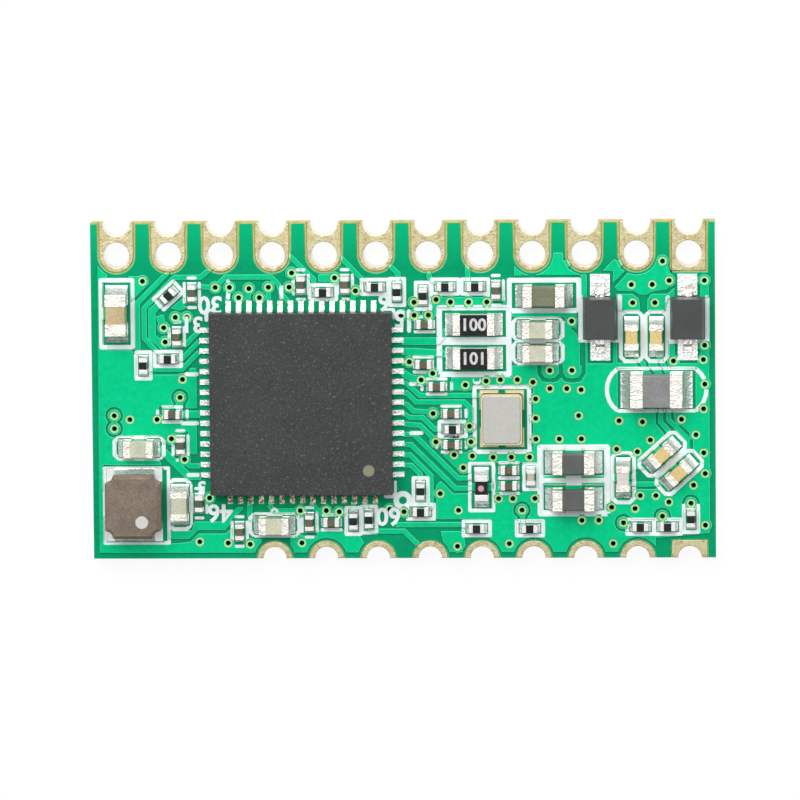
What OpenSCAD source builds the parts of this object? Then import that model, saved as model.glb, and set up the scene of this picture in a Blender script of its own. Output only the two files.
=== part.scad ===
// Power line communication module: a small circuit board with a row of plated header holes along one
// edge, half-round edge pads along both long edges, a 60-lead controller, a crystal, a power inductor,
// two protection diodes and the small chip parts around them, all soldered to the upper face.
// The board lies in X and Y, +Y towards the header edge, with its underside at Z = 0.

/* [Board] */
// Spacing of the pads along both long edges
pad_pitch = 2; // [2:0.1:2.54]
// Number of pads along the header edge, which sets the board's length
header_n = 12; // [12:1:16]
// Depth of the board from the header edge to the lower edge
board_d = 13; // [13:0.5:20]
// Thickness of the glass-epoxy laminate
core_t = 0.9; // [0.6:0.1:1.6]
// Thickness of the copper on each face
copper_t = 0.035; // [0.02:0.005:0.07]
// Thickness of the solder mask film
mask_t = 0.025; // [0.015:0.005:0.03]
// Thickness of the solder between a land and its part
joint_t = 0.05; // [0.05:0.005:0.08]

/* [Header pads] */
// Diameter of the plated header holes
hole_d = 1; // [0.8:0.05:1.1]
// Distance of the hole centres from the header edge
hole_inset = 1.25; // [1.2:0.05:1.5]
// Width of a header pad
header_pad_w = 1.32; // [1.24:0.02:1.5]
// Diameter of the half holes on the header edge
edge_hole_d = 1.05; // [0.9:0.05:1.1]
// Thickness of the copper plating in the holes
plating_t = 0.03; // [0.02:0.005:0.05]
// Bare laminate left between a header pad and the solder mask
header_margin = 0.09; // [0.05:0.01:0.12]
// Bare strip between the header edge and the solder mask
mask_pullback = 0.05; // [0.05:0.05:0.3]

/* [Lower pads] */
// Number of half-round pads along the lower edge
lower_n = 9; // [6:1:10]
// Diameter of the half holes on the lower edge
lower_hole_d = 0.9; // [0.8:0.05:1.1]
// Outer diameter of a lower pad
lower_pad_d = 1.36; // [1.3:0.02:1.5]

/* [Vias] */
// Diameter of the open hole of a via
via_hole_d = 0.2; // [0.14:0.02:0.24]
// Diameter of the copper round a via
via_pad_d = 0.46; // [0.42:0.02:0.5]
// Diameter of the mask opening round a via
via_open_d = 0.38; // [0.32:0.02:0.4]

/* [Tracks] */
// Width of a signal track
track_w = 0.15; // [0.1:0.01:0.18]
// Width of a supply track
supply_w = 0.24; // [0.2:0.02:0.28]
// Gap between a copper pour and anything else in the copper
copper_gap = 0.11; // [0.08:0.01:0.14]
// Etching back of every pour's edge
pour_inset = 0.03; // [0.01:0.01:0.05]
// Width of the gaps etched through a pour
etch_w = 0.15; // [0.1:0.01:0.2]
// Strip without copper round the board's outline
copper_border = 0.22; // [0.15:0.01:0.3]
// Growth of a mask opening beyond its land
mask_margin = 0.04; // [0.02:0.01:0.06]

/* [Controller] */
// Side of the square controller package
controller_w = 7; // [6.6:0.1:7]
// Height of the controller package
controller_h = 0.85; // [0.7:0.05:1]
// Leads along each side of the controller
lead_n = 15; // [11:2:15]
// Spacing of the controller leads
lead_pitch = 0.4; // [0.35:0.01:0.42]
// Width of a controller lead
lead_w = 0.2; // [0.16:0.01:0.24]
// Length of a controller lead under the package
lead_l = 0.4; // [0.3:0.05:0.5]
// Thickness of the lead frame
lead_t = 0.2; // [0.15:0.01:0.25]
// Reach of the lands and their solder beyond the package
lead_toe = 0.43; // [0.3:0.01:0.45]
// Side of the ground pad under the package
ground_pad_w = 5.2; // [4.5:0.1:5.6]
// Diameter of the shallow pin 1 dot
dot_d = 0.45; // [0.3:0.05:0.6]

/* [Crystal] */
// Width of the crystal package
crystal_w = 1.6; // [1.4:0.05:1.65]
// Length of the crystal package
crystal_d = 2; // [1.8:0.05:2.05]
// Height of the ceramic base
crystal_base_h = 0.36; // [0.25:0.01:0.5]
// Height of the gold seal ring
seal_h = 0.06; // [0.04:0.01:0.1]
// Thickness of the metal lid
lid_t = 0.07; // [0.05:0.01:0.1]

/* [Inductor] */
// Width of the inductor
inductor_w = 2.15; // [2:0.05:2.25]
// Length of the inductor
inductor_d = 2.45; // [2.3:0.05:2.6]
// Height of the inductor
inductor_h = 1; // [0.8:0.05:1.2]
// Radius of the notches in the inductor's corners
notch_r = 0.3; // [0.2:0.01:0.35]

/* [Diodes] */
// Width of a diode body
diode_w = 1.27; // [1.15:0.01:1.3]
// Length of a diode body
diode_d = 1.65; // [1.5:0.05:1.7]
// Height of a diode over its lands
diode_h = 0.95; // [0.8:0.05:1.1]
// Width of a diode lead
diode_lead_w = 0.36; // [0.25:0.01:0.45]
// Thickness of a diode lead
diode_lead_t = 0.12; // [0.08:0.01:0.16]
// Length of the diode lands beyond the body
diode_land_l = 0.84; // [0.7:0.02:0.9]
// Width of a diode land
diode_land_w = 0.76; // [0.6:0.02:0.85]

/* [Smallest chips] */
// Length of the smallest chip parts
tiny_l = 0.6; // [0.56:0.01:0.66]
// Width of the smallest chip parts
tiny_w = 0.3; // [0.27:0.01:0.33]
// Height of the smallest capacitors
tiny_cap_h = 0.3; // [0.27:0.01:0.36]
// Height of the smallest resistors
tiny_res_h = 0.23; // [0.2:0.01:0.28]

/* [Small capacitors] */
// Length of the small capacitors
small_l = 1; // [0.95:0.01:1.1]
// Width and height of the small capacitors
small_w = 0.5; // [0.46:0.01:0.56]
// Length of the thick small capacitors
thick_l = 1.15; // [1.05:0.01:1.2]
// Width and height of the thick small capacitors
thick_w = 0.64; // [0.58:0.01:0.68]

/* [Larger chips] */
// Length of the code-marked resistors, beads and larger capacitors
chip_l = 1.6; // [1.5:0.02:1.7]
// Width of the code-marked resistors, beads and larger capacitors
chip_w = 0.8; // [0.74:0.02:0.88]
// Height of the code-marked resistors
chip_res_h = 0.45; // [0.35:0.01:0.55]
// Height of the beads and larger capacitors
chip_cap_h = 0.8; // [0.6:0.02:0.9]
// Length of the line ferrite
ferrite_l = 2; // [1.9:0.05:2.1]
// Width of the line ferrite
ferrite_w = 1.26; // [1.15:0.01:1.35]
// Height of the line ferrite
ferrite_h = 0.9; // [0.8:0.05:1.2]
// Length of the indicator lamp
lamp_l = 1; // [0.95:0.01:1.1]
// Width of the indicator lamp
lamp_w = 0.5; // [0.45:0.01:0.55]
// Height of the indicator lamp
lamp_h = 0.4; // [0.3:0.01:0.5]

/* [Chip ends] */
// Length of the end caps on the smallest chips
tiny_end_l = 0.16; // [0.12:0.01:0.2]
// Length of the end caps on the small capacitors
small_end_l = 0.25; // [0.2:0.01:0.3]
// Length of the end caps on the thick small capacitors
thick_end_l = 0.27; // [0.22:0.01:0.32]
// Length of the terminals on the code-marked resistors
resistor_end_l = 0.28; // [0.22:0.01:0.36]
// Length of the end caps on the beads
bead_end_l = 0.38; // [0.3:0.01:0.45]
// Length of the end caps on the inlet capacitor
inlet_end_l = 0.46; // [0.36:0.01:0.5]
// Length of the end caps on the outlet capacitor
outlet_end_l = 0.35; // [0.3:0.01:0.45]
// Length of the end caps on the line ferrite
ferrite_end_l = 0.48; // [0.4:0.01:0.56]
// Length of the end caps on the lamp
lamp_end_l = 0.24; // [0.18:0.01:0.28]

/* [Chip lands] */
// Reach of a land beyond the smallest chips
tiny_reach = 0.1; // [0.06:0.01:0.14]
// Reach of a land beyond the small capacitors
small_reach = 0.28; // [0.2:0.01:0.32]
// Reach of a land beyond the thick small capacitors
thick_reach = 0.22; // [0.16:0.01:0.26]
// Reach of a land beyond the larger chips
chip_reach = 0.3; // [0.24:0.01:0.34]
// Reach of a land beyond the line ferrite
ferrite_reach = 0.38; // [0.3:0.01:0.42]
// Reach of a land beyond the lamp
lamp_reach = 0.27; // [0.2:0.01:0.3]
// Width of a land over that of its chip
land_grow = 0.05; // [0.02:0.01:0.08]
// Width of the ferrite's lands over that of the ferrite
ferrite_land_grow = 0.16; // [0.1:0.01:0.2]

/* [Chip coatings] */
// Thickness of the metal over a chip's ends
wrap_t = 0.015; // [0.01:0.001:0.02]
// Thickness of the black coat on the resistors
coat_t = 0.025; // [0.02:0.001:0.04]

/* [Hidden] */
$fn = 32;

// Levels through the board: laminate, film on it, copper, film over the copper and the seat of the parts
core_z = copper_t;
face_z = core_z + core_t;
film_z = face_z + mask_t;
land_z = film_z + copper_t;
raised_z = land_z + mask_t;
seat_z = land_z + joint_t;

// Outline and pad rows
board_w = header_n * pad_pitch;
last_pad_x = board_w / 2 - pad_pitch / 2;
header_x = [for (i = [0 : header_n - 1]) last_pad_x - i * pad_pitch];
lower_x = [for (i = [0 : lower_n - 1]) last_pad_x - i * pad_pitch];
header_y = board_d / 2;
hole_y = header_y - hole_inset;
lower_y = -board_d / 2;
cut_over = 1;

// Where the parts sit: X, Y and the turn about Z
controller_at = [-3.9, -0.45, 0];
crystal_at = [3.8, -1.1, 0];
inductor_at = [-10.4, -4.4, 0];
left_diode_at = [7.6, 2.8, 0];
right_diode_at = [10.95, 2.8, 0];
ferrite_at = [9.75, 0, 0];
upper_bead_at = [6.55, -2.8, 0];
lower_bead_at = [6.55, -4.2, 0];
upper_resistor_at = [2.75, 2.55, 0];
lower_resistor_at = [2.75, 1.25, 0];
inlet_capacitor_at = [-11, 3, 90];
outlet_capacitor_at = [5.45, 3.65, 0];
lamp_at = [3, -3.75, 90];
thick_at = [[5.2, 2.35, 0], [5.2, 1.45, 0], [-10.2, -2.2, 0], [-8.65, -4.4, 90], [-5, -5.2, 0]];
small_at = [[8.8, 2.05, 90], [9.75, 2.05, 90], [9.95, -2.5, 42], [10.6, -3.2, 42], [8.45, -3.4, 90]];
tiny_caps_at = [
    [-8.1, 3.8, 90], [-8.7, 2.1, 90], [-3.9, 4.1, 90], [-2.2, 4.1, 90], [3.6, 3.85, 90],
    [-8.6, -2.1, 90], [-7.9, -4.35, 90], [-6.35, -5.45, 90], [-3.65, -5.1, 90], [4.9, -3.35, 90],
    [0.85, 2.55, 0], [0.8, 1, 0], [1.3, 0.15, 0], [-8.9, -0.9, 0], [1.85, -0.9, 0],
    [1.85, -2.1, 0], [-2.8, -5.1, 0], [4.05, -3.1, 0], [4.05, -3.7, 0]];
tiny_res_at = [
    [-10, 1, 90], [-0.2, 3.8, 90], [0.8, 3.65, 90], [0.65, -3.9, 90], [-1.95, -5.05, 90],
    [-1.35, -5, 90], [11.05, -5, 90], [-9.05, 1.25, 0], [-3.05, 3.8, 0], [-1.05, 4, 0],
    [1.65, 4, 0], [2.8, 4, 0], [1.9, -1.5, 0], [0.65, -4.7, 0], [2.8, -5.35, 0],
    [4.85, -5.35, 0], [9.1, -5.3, 0], [10.15, -5.3, 0], [-9, 3.7, 42]];

// Chip sizes: length, width, height, terminal length, land reach beyond the end, land width
tiny_cap = [tiny_l, tiny_w, tiny_cap_h, tiny_end_l, tiny_reach, tiny_w + land_grow];
tiny_res = [tiny_l, tiny_w, tiny_res_h, tiny_end_l, tiny_reach, tiny_w + land_grow];
small_cap = [small_l, small_w, small_w, small_end_l, small_reach, small_w + land_grow];
thick_cap = [thick_l, thick_w, thick_w, thick_end_l, thick_reach, thick_w + land_grow];
chip_res = [chip_l, chip_w, chip_res_h, resistor_end_l, chip_reach, chip_w + land_grow];
bead = [chip_l, chip_w, chip_cap_h, bead_end_l, chip_reach, chip_w + land_grow];
inlet_cap = [chip_l, chip_w, chip_cap_h, inlet_end_l, chip_reach, chip_w + land_grow];
outlet_cap = [chip_l, chip_w, chip_cap_h, outlet_end_l, chip_reach, chip_w + land_grow];
ferrite = [ferrite_l, ferrite_w, ferrite_h, ferrite_end_l, ferrite_reach, ferrite_w + ferrite_land_grow];
lamp = [lamp_l, lamp_w, lamp_h, lamp_end_l, lamp_reach, lamp_w + land_grow];

// Every chip part with two ends, as its size and its place
two_end_parts = concat(
    [for (p = thick_at) [thick_cap, p]],
    [for (p = small_at) [small_cap, p]],
    [for (p = tiny_caps_at) [tiny_cap, p]],
    [for (p = tiny_res_at) [tiny_res, p]],
    [[ferrite, ferrite_at], [bead, upper_bead_at], [bead, lower_bead_at],
        [chip_res, upper_resistor_at], [chip_res, lower_resistor_at],
        [inlet_cap, inlet_capacitor_at], [outlet_cap, outlet_capacitor_at], [lamp, lamp_at]]);

// Vias that join a pour or a track, region by region from the upper left
vias = [
    [-10, 4.25], [-7.2, 4], [-6.65, 4], [-5.9, 3.95], [-5.15, 4], [-6.3, 3.6], [-5.5, 3.6],
    [-8.75, 2.85], [-8.3, 2.85], [-9.2, 2.45], [-9.15, 1.9], [-8.5, 0.45],
    [-4.35, 4], [-4.25, 4.55], [-2.6, 4.35], [-1.8, 3.85], [0.45, 3.4], [1.3, 3.5],
    [1.85, 3.4], [2.55, 3.4], [3.25, 3.4], [-0.05, 2.9], [0.45, 2.9], [1, 2.9],
    [0.25, 1.1], [1.15, 0.65], [0.7, 0.4], [2.4, 0.2], [3.2, 0.35], [3.75, 0.4], [4.4, 0.4],
    [5, 0.3], [5.65, 0.75], [5.65, 0.05], [6.3, 0.05], [6.85, 0], [5.1, -0.35], [6.5, 0.75], [6.5, 2.65],
    [10, 4.95], [8.8, 4.05], [9.6, 4.05], [10.25, 4.2], [11.6, 4.2], [8.85, 3.35], [9.7, 3.35],
    [11.6, 1.7], [11.55, 1.15], [10.4, 1.1], [11.6, 0.2],
    [-10.55, -1.1], [-9.5, -1.1], [-8.95, -1.85], [-8.45, -2.65], [-7.5, -4.15],
    [-7.9, -5.85], [-6.8, -5.9], [-5.95, -5.95],
    [1.15, -0.9], [1.25, -2], [2.55, -1.4], [2.6, -2], [1.95, -2.5], [2.65, -2.55], [2.3, -3],
    [1.4, -4], [2.1, -4.65], [2.05, -6.05], [-3.95, -5.9], [-4, -4.65], [-3, -4.65],
    [-2.5, -4.7], [-0.55, -4.6], [0, -4.7],
    [5.1, -1.1], [5.1, -1.9], [6, -1.9], [6.85, -1.9], [6.75, -1], [8.3, -1.2], [9.2, -1.25],
    [10.7, -1.15], [11.55, -0.75], [11.25, -1.75], [9.5, -1.95], [8.2, -2.3], [9, -2.4],
    [11.55, -2.45], [11.6, -3.25], [11.15, -3.7],
    [9.1, -4.1], [9.7, -4.1], [10.2, -4.35], [8.9, -4.6], [8, -4.55], [6.85, -5.05], [7.5, -5.05],
    [11.6, -5.25], [8.05, -5.95], [4.05, -5.95], [3.45, -2.6], [4.15, -2.6], [4.85, -2.6],
    [3.65, -4.2], [4.2, -4.2], [5.05, -4.2]];

// Vias that stand alone in a pour, with a gap all round
lone_vias = [
    [-8.6, -0.25], [-11.15, -0.95], [-11.15, -1.45],
    [11.05, -4.4], [9.95, -4.9], [8.45, -5.15], [4.55, -4.65]];
all_vias = concat(vias, lone_vias);

// Copper pours, each a simple outline
pours = [
    // left of the controller
    [[-11.75, 5], [-11.6, 5], [-11.35, 4.55], [-11.35, 1.6], [-10.45, 1.6], [-10.2, 1.25],
        [-9.65, 0.65], [-8.3, 0.65], [-8.2, 0.9], [-7.95, 0.9], [-7.95, -2.45], [-8.25, -2.45],
        [-8.3, -1.9], [-9.2, -1.9], [-9.4, -2.7], [-9.25, -3.1], [-11.4, -3.1], [-11.4, -6.3],
        [-11.8, -6.3]],
    // below the inductor, along the lower edge
    [[-11.75, -6.3], [-11.75, -5.9], [-9, -5.9], [-8.25, -5.85], [-7.95, -5.52], [-6.9, -5.52],
        [-6.65, -5.3], [-6.1, -5.3], [-6.1, -5.75], [-5.5, -5.75], [-5.5, -6.3]],
    // inductor output, up to a controller lead
    [[-9.1, -5.4], [-8.2, -5.4], [-8.1, -5.05], [-7, -5.05], [-6.4, -4.45], [-6.4, -4.3],
        [-6.2, -4.3], [-6.2, -4.55], [-6.9, -5.4], [-7.95, -5.4], [-8.3, -5.74], [-9.1, -5.74]],
    // between the first lower pads
    [[-4.4, -5.55], [-3.4, -5.55], [-3.4, -5.3], [-2.2, -5.35], [-1.75, -5.55], [-1.55, -5.9],
        [-1.55, -6.3], [-4.4, -6.3]],
    // below the controller's right corner
    [[1.25, -3.7], [1.4, -3.5], [1.5, -3.55], [1.9, -3.98], [2.5, -3.98], [2.5, -5], [1.25, -5]],
    [[1.4, -5.45], [2.3, -5.45], [2.4, -6.3], [1.6, -6.3]],
    [[1.55, -2.4], [2.5, -2.4], [2.5, -3.25], [2.2, -3.2], [1.55, -2.55]],
    // the large ground area on the right
    [[1.85, 0.5], [4.2, 0.5], [4.2, 0.95], [6.95, 0.95], [6.95, 2], [8.25, 2], [8.25, 1.05],
        [10.2, 1.05], [10.2, 1.9], [11.85, 1.9], [11.85, -5.55], [9.7, -5.75], [9.7, -6.3],
        [3.3, -6.3], [3.3, -5], [2.45, -5], [2.45, -2.4], [5, -2.4], [5, 0.2], [2.65, 0.2],
        [2.65, -0.05], [1.85, -0.05]],
    // header supply and the areas round the diodes
    [[4.3, 5.15], [5, 5.3], [7, 5.3], [7.1, 4.4], [7.1, 3.55], [6.85, 3.55], [6.85, 4.4], [4.3, 4.4]],
    [[8.3, 5.2], [8.6, 4.6], [8, 4], [7.9, 4.45], [7.6, 4.5], [8.15, 5.05]],
    [[8.15, 3.95], [8.65, 4.5], [9.3, 4.5], [9.75, 5.1], [9.9, 5.2], [10.15, 5.2], [10.25, 4.6],
        [10.5, 4.25], [10.15, 3.85], [9.7, 3.8], [9.35, 3.65], [9.15, 3.65], [8.9, 3.8], [8.3, 3.8]],
    [[8.2, 3.7], [8.85, 3.7], [9.1, 3.5], [9.15, 3.05], [8.25, 3.05]],
    [[9.4, 3.45], [9.55, 3.7], [10.2, 3.7], [10.55, 4.05], [10.6, 3.6], [10.2, 3.5], [10.1, 3.05],
        [9.4, 3.05]],
    [[11.4, 4.4], [11.8, 4.4], [11.8, 3.55], [11.4, 3.55]],
    [[4.2, 3], [6.7, 3], [6.7, 2.3], [6.2, 2.8], [4.2, 2.8]],
    [[6.05, 2.7], [6.25, 2.65], [6.7, 2.15], [6.82, 1.8], [6.82, 0.65], [6.65, 0.45], [6.4, 0.45],
        [6.2, 0.65], [6.05, 1.1]],
    // above the coded resistors and beside the slanted resistor
    [[1.55, 3.6], [4, 3.6], [4, 3.2], [1.3, 3.2], [1.3, 2.8], [0.95, 2.8], [1.1, 3.2]],
    [[-8.95, 3.2], [-8.45, 3.6], [-8.3, 3.6], [-8.3, 3.2], [-8.6, 3.1]],
    [[-10.55, 4.45], [-9.8, 4.45], [-9.75, 4.15], [-10.5, 3.4]]];

// Parts of the pours that are etched away
etched = [
    [[2.75, 0.1], [4.85, 0.1], [4.85, -2.4], [2.75, -2.4]],
    [[8.9, -3.1], [9.3, -3.1], [9.75, -3.5], [8.9, -3.5]]];

// Gaps etched through a pour, each a path: the scallops round the two filter vias
etched_paths = [
    [[5.25, 1.05], [5.25, 0.65], [5.4, 0.4], [5.65, 0.35], [5.9, 0.4], [6.1, 0.6], [6.25, 0.4],
        [6.5, 0.35], [6.8, 0.4], [6.95, 0.65], [6.95, 1.85]],
    [[6.1, 0.6], [6.05, 1.05]]];

// Signal tracks, each a path
signal_tracks = [
    // from the header pads on the left
    [[-9.05, 4.7], [-9.05, 4.55], [-10.2, 3.4], [-10.2, 1.5], [-10, 1.3]],
    [[-7.35, 4.75], [-7.75, 4.4], [-8.75, 4.4], [-9.95, 3.2], [-9.95, 2.05], [-9.35, 1.4]],
    [[-8.1, 4.05], [-7.2, 4]],
    // from the upper leads of the controller
    [[-7.2, 4], [-6.8, 4.4], [-5.05, 4.4], [-4.75, 4.1], [-4.65, 3.75], [-4.35, 3.4]],
    [[-6.65, 4], [-6.75, 3.4]],
    [[-6.3, 3.6], [-6.35, 3.4]],
    [[-5.9, 3.95], [-5.95, 3.4]],
    [[-5.5, 3.6], [-5.55, 3.4]],
    [[-5.15, 4], [-5.15, 3.4]],
    [[-1.8, 3.85], [-1.95, 3.4]],
    // from the header pads in the middle
    [[-4.5, 5.4], [-3.6, 4.5], [-3.4, 4.3], [-3.4, 3.95], [-3.3, 3.8]],
    [[-2.5, 5.3], [-1.35, 4.1]],
    [[-0.6, 4.95], [-0.15, 4.5], [-0.15, 4.1]],
    [[1, 4.8], [1.05, 4.35], [1.4, 4.05]],
    [[2.5, 4.95], [2.55, 4.05]],
    // from the left leads of the controller
    [[-7.85, 2.3], [-8.35, 1.8], [-8.7, 1.8]],
    [[-7.85, 1.9], [-8.5, 1.25], [-8.8, 1.25]],
    [[-7.85, 1.5], [-8.5, 0.85], [-9.7, 0.85], [-10, 0.75]],
    [[-8.45, -2.65], [-8.25, -2.9], [-7.85, -2.9]],
    // from the right leads of the controller
    [[0, 0.3], [0.15, 0.25], [0.65, -0.2], [3.1, -0.2]],
    [[0, -0.1], [0.15, -0.1], [0.5, -0.45], [2.35, -0.45], [2.6, -0.7], [2.6, -1.4]],
    [[0, -0.5], [0.15, -0.55], [0.4, -0.8], [1.15, -0.85]],
    [[0, -0.9], [0.25, -1.05], [0.75, -1.05], [1.2, -1.5], [1.6, -1.5]],
    [[0, -1.3], [0.65, -1.35], [1.25, -1.95]],
    [[0, -1.7], [0.4, -1.7], [2.1, -3.4], [2.6, -3.4]],
    [[0, -2.1], [0.3, -2.1], [2, -3.8], [2.6, -3.8]],
    [[0, -2.5], [0.25, -2.5], [1.05, -3.3], [1.05, -4.5], [0.9, -4.7]],
    [[0, -2.9], [0.3, -2.9], [0.65, -3.25], [0.65, -3.65]],
    // from the lower leads of the controller
    [[-5.95, -4.3], [-5.95, -4.9], [-5.6, -5.2]],
    [[-5.15, -4.3], [-5.15, -4.5], [-5, -4.65], [-4, -4.65]],
    [[-3.55, -4.3], [-3.55, -4.4], [-3.1, -4.85]],
    [[-1.95, -4.3], [-1.95, -4.8]],
    [[-1.55, -4.3], [-1.35, -4.75]],
    [[-0.3, -5.2], [2.2, -5.2], [2.55, -5.35]],
    [[-1.35, -5.35], [-1.2, -5.45], [0, -5.45], [0.6, -6.05]],
    // under the line ferrite to the slanted capacitors
    [[8.8, 1.45], [9.25, 1], [9.25, 0.8], [9.9, 0.1], [9.9, -1.25], [10.2, -1.6], [10.3, -2.15]],
    [[9.75, 1.45], [10.2, 0.6], [10.2, -1.15], [10.95, -1.9], [10.95, -2.85]],
    [[8.5, -3.65], [9.65, -3.65], [10.2, -3.55]],
    // from the vias that stand alone
    [[4.55, -4.65], [4.6, -5.35]],
    [[8.45, -5.15], [8.85, -5.3]],
    [[9.95, -4.9], [9.9, -5.3]],
    [[11.05, -4.4], [11.05, -4.75]],
    [[5.65, 0.75], [5.75, 1.4]],
    [[-11.15, -0.95], [-11.15, -1.45]]];

// Supply tracks, wider than the signal tracks
supply_tracks = [
    [[-9.25, 3.45], [-9.65, 3.1], [-9.65, 2.1], [-9.3, 1.8], [-9.15, 1.9]],
    [[-9.35, 2.9], [-9.2, 2.45]],
    [[-8.75, 2.85], [-8.3, 2.85]],
    [[-4.25, 4.55], [-3.9, 4.35]],
    [[-3.2, 4.35], [-2.6, 4.35]],
    [[0, 1.9], [1.35, 1.9], [1.7, 2.3]],
    [[0, 1.5], [0.45, 1.5], [1.7, 1.4]],
    [[0, 1.1], [0.5, 1.05]],
    [[0, 0.7], [0.25, 0.5], [0.7, 0.4], [1.15, 0.65]],
    [[-7.85, -0.9], [-8.65, -0.9], [-8.6, -0.25]],
    [[-9.4, -2.2], [-8.3, -3.3], [-7.85, -3.3]],
    [[-7.5, -4.15], [-7.9, -4.1]],
    // joints of two header pads with the supply pour
    [[5, 5.25], [4.55, 4.75]],
    [[7, 5.25], [6.3, 4.85]],
    [[9, 5.25], [8.3, 4.85]]];

// Shares of the joints and small features
sliver = 0.03;
via_sides = 12;
toe_steps = 18;
lead_toe_share = 0.85;
toe_share = 0.6;
dot_depth = 0.03;
controller_dot_at = [2.6, -2.55];

// Path of constant width with mitred corners
function unit(v) = v / norm(v);
function normal(v) = [-v[1], v[0]];
function leg(path, i) = unit(path[i + 1] - path[i]);
function mitre(path, i) =
    let (
        last = len(path) - 1,
        before = normal(leg(path, max(i - 1, 0))),
        after = normal(leg(path, min(i, last - 1))),
        middle = unit(before + after)
    )
    middle / (middle * before);
function ribbon(path, w) = concat(
    [for (i = [0 : len(path) - 1]) path[i] + mitre(path, i) * w / 2],
    [for (i = [len(path) - 1 : -1 : 0]) path[i] - mitre(path, i) * w / 2]);

// Solder profile: a layer under the terminal, then a concave toe from the land up the end of the part
function joint_profile(back, reach, rise) = concat([[-back, joint_t], [-back, 0]],
    [for (a = [0 : toe_steps : 90]) [reach * (1 - sin(a)), (joint_t + rise) * (1 - cos(a))]],
    [[0, joint_t]]);

function spot(at) = [at[0], at[1]];
module place(at, z = seat_z) translate([at[0], at[1], z]) rotate(at[2]) children();
module both_ends() {
    children();
    mirror([1, 0, 0]) children();
}
module block(size, z = 0) translate([-size[0] / 2, -size[1] / 2, z]) cube(size);

// Header pads: a round-ended land, or a square one on the last pad
module header_land(grow = 0, square_end = false) {
    w = header_pad_w + 2 * grow;
    end = square_end ? header_pad_w / 2 + grow : 0;
    translate([-w / 2, hole_y - end]) square([w, hole_inset + end]);
    if (!square_end) translate([0, hole_y]) intersection() {
        circle(d = w);
        translate([-w, -w]) square([2 * w, w]);
    }
}
module header_lands(grow = 0)
    for (x = header_x) translate([x, 0]) header_land(grow, x == last_pad_x);

// Lower pads: half rings round the edge holes, the last one square
module lower_land(grow = 0, square_end = false) {
    r = lower_pad_d / 2 + grow;
    intersection() {
        if (square_end) square(2 * r, center = true);
        else circle(r);
        translate([-2 * r, 0]) square([4 * r, 2 * r]);
    }
}
module lower_lands(grow = 0)
    for (x = lower_x) translate([x, lower_y]) lower_land(grow, x == last_pad_x);

// Lands of the soldered parts
module end_lands(s) for (side = [-1, 1])
    translate([side * (s[0] / 2 - s[3] / 2 + s[4] / 2), 0]) square([s[3] + s[4], s[5]], center = true);
module controller_sides() for (turn = [0 : 90 : 270])
    translate(spot(controller_at)) rotate(turn) for (i = [0 : lead_n - 1])
        translate([controller_w / 2, (i - (lead_n - 1) / 2) * lead_pitch]) children();
module crystal_corners() for (x = [-1, 1], y = [-1, 1])
    translate([crystal_at[0] + x * (crystal_w / 2 - crystal_pad_w / 2),
        crystal_at[1] + y * (crystal_d / 2 - crystal_pad_d / 2)]) children();
crystal_pad_w = 0.62;
crystal_pad_d = 0.56;
crystal_land_grow = 0.1;
inductor_end_l = 0.62;
inductor_land_reach = 0.2;
inductor_toe = 0.3;
module inductor_lands() for (side = [-1, 1])
    translate([inductor_at[0], inductor_at[1] + side * (inductor_d / 2 - inductor_end_l / 2
        + inductor_land_reach / 2)])
        square([inductor_w, inductor_end_l + inductor_land_reach], center = true);
diode_foot = 0.3;
module diode_lands(at) for (side = [-1, 1])
    translate([at[0], at[1] + side * (diode_d / 2 + diode_land_l / 2)])
        square([diode_land_w, diode_land_l], center = true);

module part_lands() {
    for (part = two_end_parts) translate(spot(part[1])) rotate(part[1][2]) end_lands(part[0]);
    controller_sides() translate([-lead_l, -lead_w / 2]) square([lead_l + lead_toe, lead_w]);
    translate(spot(controller_at)) square(ground_pad_w, center = true);
    crystal_corners() square([crystal_pad_w + crystal_land_grow, crystal_pad_d + 2 * crystal_land_grow],
        center = true);
    inductor_lands();
    diode_lands(left_diode_at);
    diode_lands(right_diode_at);
}

// Copper seen from above: pours less the gaps round everything else, then tracks, via pads and lands
module tracks(grow = 0) {
    for (path = signal_tracks) polygon(ribbon(path, track_w + 2 * grow));
    for (path = supply_tracks) polygon(ribbon(path, supply_w + 2 * grow));
}
module via_pads(list, d) for (at = list) translate(at) circle(d = d, $fn = via_sides);
module poured_plan() offset(delta = sliver - pour_inset) offset(delta = -sliver) intersection() {
    square([board_w - 2 * copper_border, board_d - 2 * copper_border], center = true);
    difference() {
        for (outline = pours) polygon(outline);
        for (outline = etched) polygon(outline);
        for (path = etched_paths) polygon(ribbon(path, etch_w));
        offset(delta = copper_gap) part_lands();
        tracks(copper_gap);
        via_pads(lone_vias, via_pad_d + 2 * copper_gap);
        header_lands(header_margin + copper_gap / 2);
        lower_lands(copper_gap);
    }
}
module copper_plan() {
    poured_plan();
    tracks();
    via_pads(all_vias, via_pad_d);
    part_lands();
}

// Outline of the mask film, which stops short of the header edge
module film_plan() translate([-board_w / 2, lower_y]) square([board_w, board_d - mask_pullback]);

// Exact cuts for the plated holes
module via_cuts(d) for (at = all_vias)
    translate([at[0], at[1], -cut_over]) cylinder(d = d, h = raised_z + 2 * cut_over);
module header_cuts(wall = 0) for (x = header_x) {
    translate([x, hole_y, -cut_over]) cylinder(d = hole_d + 2 * wall, h = land_z + 2 * cut_over);
    translate([x, header_y, -cut_over]) cylinder(d = edge_hole_d + 2 * wall, h = land_z + 2 * cut_over);
}
module lower_cuts(wall = 0) for (x = lower_x)
    translate([x, lower_y, -cut_over]) cylinder(d = lower_hole_d + 2 * wall, h = land_z + 2 * cut_over);

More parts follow.
